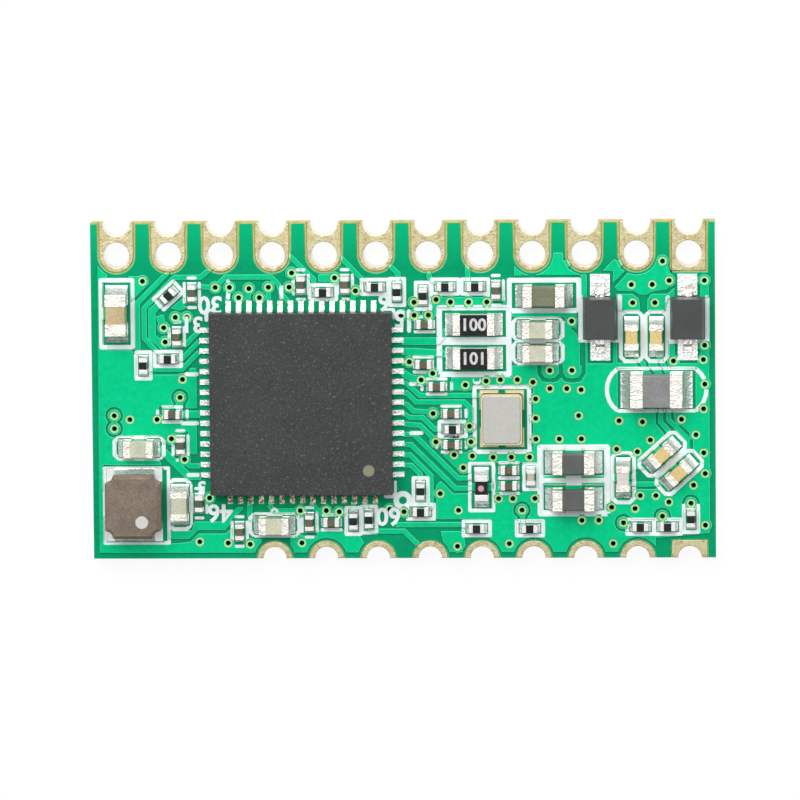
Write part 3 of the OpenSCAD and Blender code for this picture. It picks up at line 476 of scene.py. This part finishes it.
pad_gold = mottled(
    "pale_gold", (0.70, 0.63, 0.39), (0.54, 0.47, 0.26),
    patch=3200, grain=14000, depth=0.35, rough=(0.28, 0.5), bump=1.2e-5, metallic=1.0,
)
stains = placed(
    pad_gold.node_tree, speck_mask, scale=5200, detail=3.0, low=0.32, high=0.44, below=0.55, above=0.0
)
repaint(pad_gold, stains["Share"], (0.32, 0.25, 0.12))
# Painted highlight: walls and lower rims are near white where they lean.
paint_light_on_slopes(pad_gold, 0.3, 0.6, 0.9, (0.97, 0.95, 0.86))
for row in ("header", "lower"):
    rounded(
        row + "_pads", row + "_pad_plating", "gold_plate", pad_gold,
        radius=0.03, segments=3, rims_only=True,
    )


# Printed legend: white ink screened on to the baked film, a frame or pair of strokes for each part.
# It follows the steps of the film and stays off every land, pad and body.
ink = bmesh.new()
ink_t = 0.012
ink_step = 0.06
stroke_rise = 0.0003
stroke_heights = 23
stroke_number = count(1)
board_middle = 0.5


def turned(x, y, z, angle):
    """The matrix that turns flat work by an angle and then takes it to a place."""
    return Matrix.Translation((x, y, z)) @ Matrix.Rotation(angle, 4, "Z")


def ink_place(place):
    """A part's own axes, each stroke a hair higher than the last so that crossings stay clean."""
    lift = stroke_rise * (next(stroke_number) % stroke_heights)
    return turned(place[0], place[1], lift, math.radians(place[2]))


def ink_line(start, end, width, place=(0, 0, 0)):
    """One stroke in a part's own axes, cut fine enough to follow the film below it."""
    run = Vector(end) - Vector(start)
    middle = (Vector(end) + Vector(start)) / 2
    along = turned(*middle, 0, math.atan2(run.y, run.x))
    size = Matrix.Diagonal((run.length / 2, width / 2, 1, 1))
    cuts = max(1, round(run.length / ink_step))
    at = ink_place(place) @ along @ size
    bmesh.ops.create_grid(ink, x_segments=cuts, y_segments=3, size=1, matrix=at)


def ink_disc(centre, radius, place=(0, 0, 0)):
    """A round blot of ink, such as a stroke's end."""
    at = ink_place(place) @ Matrix.Translation((*centre, 0))
    bmesh.ops.create_circle(ink, cap_ends=True, segments=14, radius=radius, matrix=at)


def ink_path(points, width, place=(0, 0, 0), closed=False):
    """Strokes from point to point with round joins and ends."""
    corners = list(points) + list(points[:1] if closed else [])
    for start, end in zip(corners, corners[1:]):
        ink_line(start, end, width, place)
    for point in points:
        ink_disc(point, width / 2, place)


def ink_frame(place, length, depth, width, chamfer=0.0):
    """A closed frame of that outside size round a part, with its corners cut by chamfer."""
    x = (length - width) / 2
    y = (depth - width) / 2
    if chamfer:
        a = x - chamfer
        b = y - chamfer
        ring = ((-a, -y), (a, -y), (x, -b), (x, b), (a, y), (-a, y), (-x, b), (-x, -b))
    else:
        ring = ((-x, -y), (x, -y), (x, y), (-x, y))
    ink_path(ring, width, place, True)


tiny_capacitors = (
    (-8.1, 3.8, 90), (-8.7, 2.1, 90), (-3.9, 4.1, 90), (-2.2, 4.1, 90), (3.6, 3.85, 90),
    (-8.6, -2.1, 90), (-7.9, -4.35, 90), (-6.35, -5.45, 90), (-3.65, -5.1, 90),
    (0.85, 2.55, 0), (0.8, 1, 0), (1.3, 0.15, 0), (-8.9, -0.9, 0), (1.85, -0.9, 0),
    (1.85, -2.1, 0), (-2.8, -5.1, 0), (4.05, -3.1, 0), (4.05, -3.7, 0),
)
tiny_stroke = 0.12
for place in tiny_capacitors:
    for side in (-1, 1):
        beside = side * 0.29
        past_end = side * 0.57
        ink_path(((-0.36, beside), (0.36, beside)), tiny_stroke, place)
        ink_path(((past_end, -0.13), (past_end, 0.13)), tiny_stroke, place)
tiny_resistors = (
    (-10, 1, 90), (-0.2, 3.8, 90), (0.8, 3.65, 90), (0.65, -3.9, 90), (-1.95, -5.05, 90),
    (-1.35, -5, 90), (11.05, -5, 90), (-9.05, 1.25, 0), (-3.05, 3.8, 0), (-1.05, 4, 0),
    (1.65, 4, 0), (2.8, 4, 0), (1.9, -1.5, 0), (0.65, -4.7, 0), (2.8, -5.35, 0),
    (4.85, -5.35, 0), (9.1, -5.3, 0), (10.15, -5.3, 0), (-9, 3.7, 42),
)
for place in tiny_resistors:
    ink_frame(place, 1.16, 0.70, 0.14)
small_capacitors = (
    (5.2, 2.35, 0), (5.2, 1.45, 0), (-10.2, -2.2, 0), (-8.65, -4.4, 90), (-5, -5.2, 0),
    (8.8, 2.05, 90), (9.75, 2.05, 90), (9.95, -2.5, 42), (10.6, -3.2, 42), (8.45, -3.4, 90),
)
for place in small_capacitors:
    ink_frame(place, 2.05, 0.98, 0.15, 0.16)
for place, length, depth, width, bar in (
    ((4.9, -3.35, 90), 1.1, 0.65, 0.12, None),  # pale tiny capacitor
    ((-11, 3, 90), 2.76, 1.38, 0.17, None),  # inlet capacitor
    ((5.45, 3.65, 0), 2.86, 1.36, 0.19, None),  # outlet capacitor
    ((3, -3.75, 90), 1.95, 1.04, 0.14, None),  # lamp
    ((2.75, 1.9, 0), 2.88, 2.78, 0.21, (1.24, 0.3)),  # coded resistors
    ((6.55, -3.5, 0), 2.8, 2.78, 0.23, (1.17, 0.38)),  # beads
    ((3.8, -1.13, 0), 2.26, 2.66, 0.16, None),  # crystal
    ((-10.32, -4.435, 0), 2.6, 3.03, 0.13, None),  # inductor
    ((7.6, 2.75, 0), 1.68, 1.86, 0.17, None),  # left diode
    ((10.95, 2.7, 0), 1.68, 1.86, 0.17, None),  # right diode
):
    ink_frame(place, length, depth, width)
    if bar:
        reach, bar_width = bar
        ink_line((-reach, 0), (reach, 0), bar_width, place)
ferrite_at = (9.75, 0, 0)
arc = [math.radians(a) for a in range(-60, 61, 15)]
for side in (-1, 1):
    ink_line((-1.48, side * 0.82), (1.48, side * 0.82), 0.13, ferrite_at)
    bow = [(side * (1.15 + 0.76 * math.cos(a)), 0.9 * math.sin(a)) for a in arc]
    ink_path(bow, 0.16, ferrite_at)
# Ticks beside the controller's leads and its corners, a peak on one frame, a blot, and the ring
# that marks the first lead.
tick_width = 0.15
for points in (
    ((-6.7, 4.25), (-6.7, 3.6)), ((-4.65, 4), (-4.65, 3.6)), ((-8.35, 0.65), (-7.95, 0.65)),
    ((-8.5, -1.25), (-7.95, -1.25)), ((-8.3, -3.25), (-7.95, -3.25)), ((0.25, 3.05), (0.25, 2.3)),
    ((0.3, 0.25), (0.7, 0.25)), ((0.3, -1.65), (0.7, -1.65)),
    ((-7.55, 2.75), (-7.55, 3.1), (-7.2, 3.1)), ((-0.75, 3.1), (-0.35, 3.1), (-0.35, 2.75)),
    ((-0.35, -3.5), (-0.35, -4.1), (-0.7, -4.1)),
):
    ink_path(points, tick_width)
ink_path(((-5.12, -4.67), (-5, -4.55), (-4.88, -4.67)), 0.1)
ink_disc((2.85, 0.38), 0.16)
turns = [math.radians(a) for a in range(0, 360, 20)]
first_lead_ring = [(0.26 * math.cos(a), 0.26 * math.sin(a)) for a in turns]
ink_path(first_lead_ring, 0.21, (-0.04, -4.26, 0), closed=True)


def numeral(text, at, size, turn, bold):
    """Plain printed figures as a flat mesh in millimetres, centred on a place."""
    curve = bpy.data.curves.new("figures", "FONT")
    curve.body = text
    curve.size = size
    curve.align_x = "CENTER"
    curve.align_y = "CENTER"
    curve.resolution_u = 3
    curve.offset = bold
    letters = bpy.data.objects.new("figures", curve)
    flat = bpy.data.meshes.new_from_object(letters)
    bpy.data.objects.remove(letters)
    flat.transform(turned(*at, 0, math.radians(turn)))
    return flat


def thicken(print_work, height):
    """Gives flat print its thickness."""
    thick = bmesh.ops.extrude_face_region(print_work, geom=print_work.faces[:], use_keep_orig=True)
    lifted = [part for part in thick["geom"] if isinstance(part, bmesh.types.BMVert)]
    bmesh.ops.translate(print_work, vec=(0, 0, height), verts=lifted)
    bmesh.ops.recalc_face_normals(print_work, faces=print_work.faces)


others = bmesh.new()
for name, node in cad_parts.items():
    if not name.startswith("solder_mask"):
        others.from_mesh(node.data)
bmesh.ops.scale(others, vec=(mm, mm, mm), verts=others.verts)
parts_above = BVHTree.FromBMesh(others)
others.free()
base = merged_copy("solder_mask_base")
base_film = BVHTree.FromBMesh(base)
base.free()
raised_film = BVHTree.FromBMesh(relief)
relief.free()


def film_level(x, y):
    """Height of the film at a place, or None where a land, pad or part is on top."""
    hits = [hit_below(tree, x, y) for tree in (base_film, raised_film, parts_above)]
    levels = [hit.z if hit else -1.0 for hit in hits]
    film = max(levels[0], levels[1])
    return film if film > board_middle and film > levels[2] else None


lost = []
for point in ink.verts:
    level = film_level(point.co.x, point.co.y)
    if level is None:
        lost.append(point)
    else:
        point.co.z += level + hair
bmesh.ops.delete(ink, geom=lost, context="VERTS")
for text, at, size in (
    ("30", (-7.4, 3.35), 0.95), ("31", (-8.1, 2.6), 0.85), ("6", (-0.7, 3.42), 0.9),
    ("5", (-0.12, 2.8), 0.9), ("60", (-0.6, -4.85), 0.95), ("46", (-7.1, -4.7), 0.95),
    ("5", (-7.8, -3.7), 0.6),
):
    figures = numeral(text, at, size, turn=180, bold=0.028)
    levels = [film_level(point.co.x, point.co.y) for point in figures.vertices]
    highest = max(level for level in levels if level)
    for point in figures.vertices:
        point.co.z = highest + 2 * hair
    ink.from_mesh(figures)
thicken(ink, ink_t)
white_ink = mottled(
    "white_legend_ink", (0.92, 0.99, 1.0), (0.86, 0.96, 0.98),
    patch=3000, grain=14000, depth=0.05, rough=(0.5, 0.7), bump=3e-6,
)
piece_from(ink, "printed_legend", "alumina", white_ink, smooth=False)


# Solder: paste printed on the lands and melted, wetting up the ends of every part.
# It sets bright and wrinkled, with a dull frosted skin in places.
solder = mottled(
    "bright_solder", (0.96, 0.97, 0.96), (0.84, 0.86, 0.85),
    patch=3600, grain=12000, depth=0.3, rough=(0.10, 0.30), bump=3e-5, metallic=0.7,
)
rounded("solder_joints", "reflowed_solder", "solder", solder, radius=0.045)


# Controller: a square moulded package with sixty leads flush round its edge.
# Black resin filled with fine silica, mould grained on top, with one pale first-lead dot.
# The leads are tinned; the lower row and its solder carry painted shade and a painted dark reflection,
# in dark brown and copper streaks.
ragged_by = 4e-5
first_lead_at = (-0.0013, -0.0030)
shaded_lower_leads = ((-0.0039, -0.0042), (0.0033, 0.0003))
dot_mask, takes, gives = new_group(
    "dot_of_paint",
    (("Centre", "Vector", (0, 0, 0)), ("Radius", "Float", 2e-4), ("Most", "Float", 1.0)),
    (("Share", "Float"),),
)
plan = node_in(dot_mask, "VectorMath", operation="MULTIPLY")
feed(dot_mask, plan.inputs[0], place_in(dot_mask))
feed(dot_mask, plan.inputs[1], (1, 1, 0))
away = node_in(dot_mask, "VectorMath", operation="DISTANCE")
feed(dot_mask, away.inputs[0], plan.outputs["Vector"])
feed(dot_mask, away.inputs[1], takes["Centre"])
waver = noise_in(dot_mask, 14000, 1.0)
ragged = maths_in(dot_mask, "MULTIPLY_ADD", waver, ragged_by, away.outputs["Value"])
brim = maths_in(dot_mask, "ADD", takes["Radius"], paint_edge)
feed(dot_mask, gives["Share"], spread_in(dot_mask, ragged, takes["Radius"], brim, takes["Most"], 0.0))


def paint_dot(finish, centre, radius, most, colour):
    """A round dot of paint on a finish, the same at every height."""
    dot = placed(finish.node_tree, dot_mask, centre=(*centre, 0), radius=radius, most=most)
    repaint(finish, dot["Share"], colour)


resin = mottled(
    "filled_resin", (0.034, 0.039, 0.039), (0.027, 0.031, 0.031),
    patch=700, grain=15000, depth=0.7, rough=(0.42, 0.58), bump=6e-6,
)
tree = resin.node_tree
pits = placed(tree, speck_mask, scale=9000, detail=1.0, low=0.30, high=0.40, below=0.6, above=0.0)
repaint(resin, pits["Share"], (0.008, 0.008, 0.008))
# Pale flecks: partly silica filler, partly painted glints.
flecks_and_glints = placed(tree, speck_mask, scale=11000, detail=1.0, low=0.62, high=0.74, below=0.0, above=0.55)
repaint(resin, flecks_and_glints["Share"], (0.20, 0.20, 0.18))
paint_dot(resin, first_lead_at, 0.00023, 0.85, (0.30, 0.30, 0.20))
rounded("controller_body", "controller_package", "mould_compound", resin, radius=0.04)
tin, lead_tin = [
    mottled(
        name, (1.0, 1.0, 0.98), (0.86, 0.87, 0.85),
        patch=3600, grain=14000, depth=0.2, rough=(0.20, 0.40), bump=8e-6, metallic=1.0,
    )
    for name in ("bright_tin", "lead_tin")
]
# Painted shade and dark reflection: dark brown and copper streaks on the lower row of leads and their
# solder.
for finish in (lead_tin, solder):
    tree = finish.node_tree
    shade_streaks = placed(tree, speck_mask, scale=9000, detail=2.0, low=0.38, high=0.62, below=0.0, above=1.0)
    painted_lead_shade = mix_in(tree, shade_streaks["Share"], (0.13, 0.10, 0.06), (0.80, 0.70, 0.52))
    paint_box(finish, *shaded_lower_leads, painted_lead_shade)
dress(lead_tin, "controller_leads")


# Crystal: a brown ceramic tray with a gilt seal ring and a stamped lid seam welded on.
# The lid is a satin nickel alloy, its edge rolled over by the weld.
tray = mottled(
    "brown_ceramic", (0.20, 0.13, 0.07), (0.15, 0.10, 0.05),
    patch=1500, grain=20000, depth=0.3, rough=(0.5, 0.7), bump=5e-6,
)
gold = mottled(
    "gold_flash", (0.86, 0.79, 0.53), (0.80, 0.73, 0.50),
    patch=2600, grain=24000, depth=0.22, rough=(0.30, 0.48), bump=2.5e-6, metallic=1.0,
)
lid_metal = mottled(
    "satin_lid", (0.60, 0.60, 0.55), (0.55, 0.55, 0.50),
    patch=1100, grain=22000, depth=0.22, rough=(0.30, 0.42), bump=3e-6, metallic=1.0,
)
dress(tray, "crystal_base")
dress(gold, "crystal_seal_ring")
rounded("crystal_lid", "crystal_cover", "lid_metal", lid_metal, radius=0.03)


# Inductor: a pressed block of metal powder with a wound coil inside and tinned ends below.
# The powder is brown grey and speckled, its rounded edges and sides painted lighter as a highlight, and
# a paint dot marks the start of the winding.
powder = mottled(
    "pressed_powder", (0.24, 0.185, 0.138), (0.19, 0.147, 0.11),
    patch=1300, grain=13000, depth=0.45, rough=(0.45, 0.65), bump=1e-5,
)
# Painted highlight: the rounded edges and sides are lighter than the top.
paint_light_on_slopes(powder, 0.45, 0.85, 0.45, (0.36, 0.29, 0.22))
paint_dot(powder, (-0.01005, -0.00497), 0.00025, 0.9, (0.74, 0.74, 0.71))
rounded("inductor_core", "inductor_block", "inductor_powder", powder, radius=0.07, segments=3)
dress(tin, "inductor_terminals")


# Diodes: two moulded packages with a flat lead bent under each end.
# Their resin is smoother than the controller's, and their leads are tinned thick and wrinkled.
black_resin = mottled(
    "diode_resin", (0.058, 0.064, 0.064), (0.046, 0.051, 0.051),
    patch=900, grain=22000, depth=0.4, rough=(0.34, 0.5), bump=3e-6,
)
wrinkled = mottled(
    "wrinkled_tin", (0.97, 0.96, 0.93), (0.70, 0.66, 0.58),
    patch=2600, grain=9000, depth=0.45, rough=(0.12, 0.28), bump=4e-5, metallic=1.0,
)
for side in ("left", "right"):
    rounded(
        side + "_diode_body", side + "_diode_package", "diode_compound", black_resin,
        radius=0.12, segments=3,
    )
    rounded(side + "_diode_leads", side + "_diode_tinned_leads", "tinned_lead", wrinkled, radius=0.02)


# Ferrite and beads: fired ferrite bars with wide silver ends that are tinned over.
# The beads are a dark even grey with a slight gloss, and the line ferrite is paler.
caps = mottled(
    "dull_tin", (0.98, 0.95, 0.87), (0.74, 0.71, 0.62),
    patch=3600, grain=14000, depth=0.35, rough=(0.22, 0.44), bump=3e-5, metallic=1.0,
)
fired, pale_fired = [
    mottled(name, colour, second, patch=1500, grain=18000, depth=0.35, rough=(0.35, 0.5), bump=5e-6)
    for name, colour, second in (
        ("fired_ferrite", (0.12, 0.125, 0.12), (0.09, 0.095, 0.09)),
        ("pale_ferrite", (0.29, 0.30, 0.295), (0.24, 0.25, 0.245)),
    )
]
for bar, finish in (("line_ferrite", pale_fired), ("upper_bead", fired), ("lower_bead", fired)):
    rounded(bar + "_body", bar + "_bar", "ferrite", finish, radius=0.04)
    rounded(bar + "_terminals", bar + "_ends", "tinned_lead", caps, radius=0.06, segments=3)


# Coded resistors: white alumina chips with a black glass coat and wrapped tinned ends.
# A plain figure code is printed in white on each coat.
code_sunk = 0.004
code_t = 0.008
alumina = mottled(
    "white_alumina", (0.83, 0.83, 0.80), (0.76, 0.76, 0.73),
    patch=2200, grain=18000, depth=0.2, rough=(0.45, 0.65), bump=4e-6,
)
glass = mottled(
    "black_glass", (0.014, 0.016, 0.017), (0.020, 0.022, 0.023),
    patch=1800, grain=16000, depth=0.35, rough=(0.20, 0.36), bump=4e-6, specular=0.2,
)
code_ink = mottled(
    "code_ink", (0.78, 0.78, 0.75), (0.62, 0.62, 0.60),
    patch=5000, grain=20000, depth=0.3, rough=(0.5, 0.7), bump=3e-6,
)
for row in ("upper", "lower"):
    rounded(row + "_resistor_body", row + "_resistor_chip", "alumina", alumina, radius=0.02)
    rounded(
        row + "_resistor_terminals", row + "_resistor_ends", "tinned_lead", caps,
        radius=0.04, segments=3,
    )
rounded("coded_resistor_coats", "coded_resistor_glass", "resistor_coat", glass, radius=0.012)
coat_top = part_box("coded_resistor_coats")[1].z * mm
codes = bmesh.new()
for text, at in (("100", (2.75, 2.55)), ("101", (2.75, 1.25))):
    codes.from_mesh(numeral(text, at, 0.66, turn=0, bold=0.018))
bmesh.ops.translate(codes, vec=(0, 0, coat_top - code_sunk), verts=codes.verts)
bmesh.ops.recalc_face_normals(codes, faces=codes.faces)
thicken(codes, code_t)
piece_from(codes, "resistor_code_figures", "alumina", code_ink, smooth=False)


# Large capacitors: layered ceramic blocks with wrapped silver ends under tin.
# The inlet one is fired tan, the outlet one olive.
def layered_ceramic(name, colour, second, patch, grain):
    """A fired capacitor body, matt and faintly speckled."""
    return mottled(name, colour, second, patch, grain, depth=0.28, rough=(0.4, 0.6), bump=6e-6)


tan = layered_ceramic("tan_ceramic", (0.65, 0.51, 0.29), (0.56, 0.43, 0.23), 1300, 15000)
olive = layered_ceramic("olive_ceramic", (0.22, 0.235, 0.14), (0.18, 0.195, 0.11), 1300, 15000)
for end, finish, slot in (("inlet", tan, "tan_ceramic"), ("outlet", olive, "olive_ceramic")):
    rounded(end + "_capacitor_body", end + "_capacitor_block", slot, finish, radius=0.05)
    rounded(
        end + "_capacitor_terminals", end + "_capacitor_ends", "tinned_lead", caps,
        radius=0.06, segments=3,
    )


# Small capacitors: the same layered chips at half the size, in three firings.
# Filter and supply ones are beige grey, coupling ones yellow, and the one by the beads pinkish.
beige = layered_ceramic("beige_ceramic", (0.68, 0.69, 0.52), (0.60, 0.60, 0.45), 1500, 16000)
yellow = layered_ceramic("yellow_ceramic", (0.85, 0.65, 0.28), (0.76, 0.56, 0.23), 1500, 16000)
pinkish = layered_ceramic("pinkish_ceramic", (0.79, 0.74, 0.70), (0.70, 0.65, 0.61), 1500, 16000)
for kind, number, finish, slot in (
    ("filter", 2, beige, "grey_ceramic"),
    ("supply", 3, beige, "grey_ceramic"),
    ("coupling", 4, yellow, "tan_ceramic"),
):
    for n in range(1, number + 1):
        name = f"{kind}_capacitor_{n}"
        rounded(name, name + "_block", slot, finish, radius=0.03)
rounded("bead_capacitor", "bead_capacitor_block", "pink_ceramic", pinkish, radius=0.03)
rounded(
    "small_capacitor_terminals", "small_capacitor_ends", "tinned_lead", caps,
    radius=0.05, segments=3,
)


# Lamp: a small indicator in a black moulding, its smoked window pink over the die.
# Its ends are tinned like the chips.
moulding = mottled(
    "lamp_moulding", (0.010, 0.009, 0.010), (0.016, 0.014, 0.015),
    patch=1500, grain=18000, depth=0.35, rough=(0.35, 0.55), bump=5e-6, specular=0.2,
)
window = mottled(
    "smoked_resin", (0.030, 0.018, 0.022), (0.040, 0.022, 0.028),
    patch=2600, grain=15000, depth=0.2, rough=(0.15, 0.3), bump=3e-6,
)
paint_dot(window, (0.00299, -0.00376), 0.00012, 1.0, (0.72, 0.33, 0.37))
rounded("lamp_body", "lamp_housing", "lamp_moulding", moulding, radius=0.02)
dress(window, "lamp_window")
rounded("lamp_terminals", "lamp_ends", "tinned_lead", tin, radius=0.02)


# Tiny chips: the smallest capacitors and resistors, placed by machine round the controller.
# Each firing differs a little, so the capacitors run from tan to dark brown.
# One of them, between the beads and the lamp, is nearly white.
pale_chip_at = (0.0049, -0.00335, 0.0012)
brown = mottled(
    "brown_chip_ceramic", (0.17, 0.13, 0.075), (0.14, 0.105, 0.06),
    patch=2200, grain=18000, depth=0.3, rough=(0.4, 0.6), bump=6e-6,
)
tree = brown.node_tree
lots = node_in(tree, "TexVoronoi")
lots.inputs["Scale"].default_value = 620.0
feed(tree, lots.inputs["Vector"], place_in(tree))
batch = node_in(tree, "SeparateColor")
feed(tree, batch.inputs[0], lots.outputs["Color"])
repaint(brown, spread_in(tree, batch.outputs[0], 0.45, 0.8, 0.0, 0.8), (0.10, 0.085, 0.065))
away = node_in(tree, "VectorMath", operation="DISTANCE")
feed(tree, away.inputs[0], place_in(tree))
feed(tree, away.inputs[1], pale_chip_at)
repaint(brown, spread_in(tree, away.outputs["Value"], 0.0004, 0.0005, 0.9, 0.0), (0.62, 0.55, 0.50))
rounded("tiny_capacitor_bodies", "tiny_capacitor_blocks", "tan_ceramic", brown, radius=0.02)
rounded(
    "tiny_capacitor_terminals", "tiny_capacitor_ends", "tinned_lead", tin,
    radius=0.045, segments=3,
)
rounded("tiny_resistor_bodies", "tiny_resistor_chips", "alumina", alumina, radius=0.012)
rounded("tiny_resistor_terminals", "tiny_resistor_ends", "tinned_lead", tin, radius=0.03)
rounded("tiny_resistor_coats", "tiny_resistor_glass", "resistor_coat", glass, radius=0.01)


# Floor and backdrop: a plain white sheet that the board lies on.
# It is white to the camera and in reflections, and still takes the board's shadow.
floor_drop = 0.00005


def split_by_ray(tree, lighting, seen, surface):
    """Lights the object with one shader and shows another to the camera and in reflections."""
    path = node_in(tree, "LightPath")
    share = path.outputs["Is Camera Ray"]
    for ray in ("Is Glossy Ray", "Is Transmission Ray"):
        share = maths_in(tree, "MAXIMUM", share, path.outputs[ray])
    either = node_in(tree, "MixShader")
    for socket, value in zip(either.inputs, (share, lighting.outputs[0], seen.outputs[0])):
        feed(tree, socket, value)
    feed(tree, surface, either.outputs[0])


spread_paper = bmesh.new()
bmesh.ops.create_grid(spread_paper, x_segments=1, y_segments=1, size=1.5)
bmesh.ops.translate(spread_paper, vec=(0, 0, -floor_drop), verts=spread_paper.verts)
floor = object_from(spread_paper, "white_sheet")
paper = bpy.data.materials.new("white_paper")
paper.use_nodes = True
tree = paper.node_tree
tree.nodes.remove(tree.nodes["Principled BSDF"])
matt = node_in(tree, "BsdfDiffuse")
matt.inputs["Color"].default_value = (0.8, 0.8, 0.8, 1)
faint = node_in(tree, "BsdfDiffuse")
faint.inputs["Color"].default_value = (0.1, 0.1, 0.1, 1)
glow = node_in(tree, "Emission")
glow.inputs["Strength"].default_value = 0.92
lit = node_in(tree, "AddShader")
feed(tree, lit.inputs[0], faint.outputs[0])
feed(tree, lit.inputs[1], glow.outputs[0])
split_by_ray(tree, matt, lit, tree.nodes["Material Output"].inputs["Surface"])
floor.data.materials.append(paper)

world = bpy.data.worlds.new("white_room")
bpy.context.scene.world = world
world.use_nodes = True
tree = world.node_tree
room = tree.nodes["Background"]
room.inputs["Strength"].default_value = 0.70
backdrop = node_in(tree, "Background")
backdrop.inputs["Strength"].default_value = 1.0
for light in (room, backdrop):
    light.inputs["Color"].default_value = (1, 1, 1, 1)
split_by_ray(tree, room, backdrop, tree.nodes["World Output"].inputs["Surface"])


# Lamps, screen and camera: a soft box from the header side and a weaker one from the right.
# A dark screen and a grey card show the metal's slopes and flats, and the lens is long.
for name, place, size, power in (
    ("key_box", (-0.05, 0.13, 0.20), 0.20, 0.41),
    ("fill_box", (0.20, 0.02, 0.15), 0.16, 0.07),
):
    light = bpy.data.lights.new(name, "AREA")
    light.shape = "SQUARE"
    light.size = size
    light.energy = power
    box = bpy.data.objects.new(name, light)
    box.location = place
    box.rotation_euler = (-Vector(place)).to_track_quat("-Z", "Y").to_euler()
    bpy.context.collection.objects.link(box)

bend = bmesh.new()
foot = bend.verts.new((-0.75, 0, 0.01))
head = bend.verts.new((-0.75, 0, 0.95))
upright = bend.edges.new((foot, head))
bmesh.ops.spin(
    bend, geom=[foot, head, upright], cent=(0, 0, 0), axis=(0, 0, 1), angle=math.pi, steps=24
)
screen = object_from(bend, "dark_screen")
cloth = mottled(
    "dark_cloth", (0.03, 0.03, 0.03), (0.04, 0.04, 0.04),
    patch=20, grain=400, depth=0.3, rough=(0.8, 0.9), bump=1e-4,
)
screen.data.materials.append(cloth)
roof = bmesh.new()
overhead = Matrix.Translation((0, 0, 0.6))
bmesh.ops.create_circle(roof, cap_ends=True, segments=32, radius=0.24, matrix=overhead)
card = object_from(roof, "grey_roof_card")
grey = mottled(
    "grey_card", (0.90, 0.90, 0.90), (0.86, 0.86, 0.86),
    patch=20, grain=400, depth=0.1, rough=(0.8, 0.9), bump=1e-4,
)
tree = grey.node_tree
glow = node_in(tree, "Emission")
glow.inputs["Strength"].default_value = 0.86
plain = tree.nodes["Principled BSDF"]
split_by_ray(tree, plain, glow, tree.nodes["Material Output"].inputs["Surface"])
card.data.materials.append(grey)

lens = bpy.data.cameras.new("long_lens")
lens.sensor_width = 36.0
lens.lens = 351.0
lens.clip_start = 0.01
lens.clip_end = 5.0
camera = bpy.data.objects.new("camera", lens)
camera_distance = 0.3
camera_roll = math.radians(-0.33)
aim = Vector((-0.000118, -0.00037, 0.001))
lean = Vector((0.05, 0.105, 1)).normalized()
tilt = Vector((0, 0, 1)).rotation_difference(lean).to_matrix()
camera.location = aim + lean * camera_distance
camera.rotation_euler = (tilt @ Matrix.Rotation(camera_roll, 3, "Z")).to_euler()
bpy.context.collection.objects.link(camera)
bpy.context.scene.camera = camera
bpy.context.scene.view_settings.view_transform = "Standard"
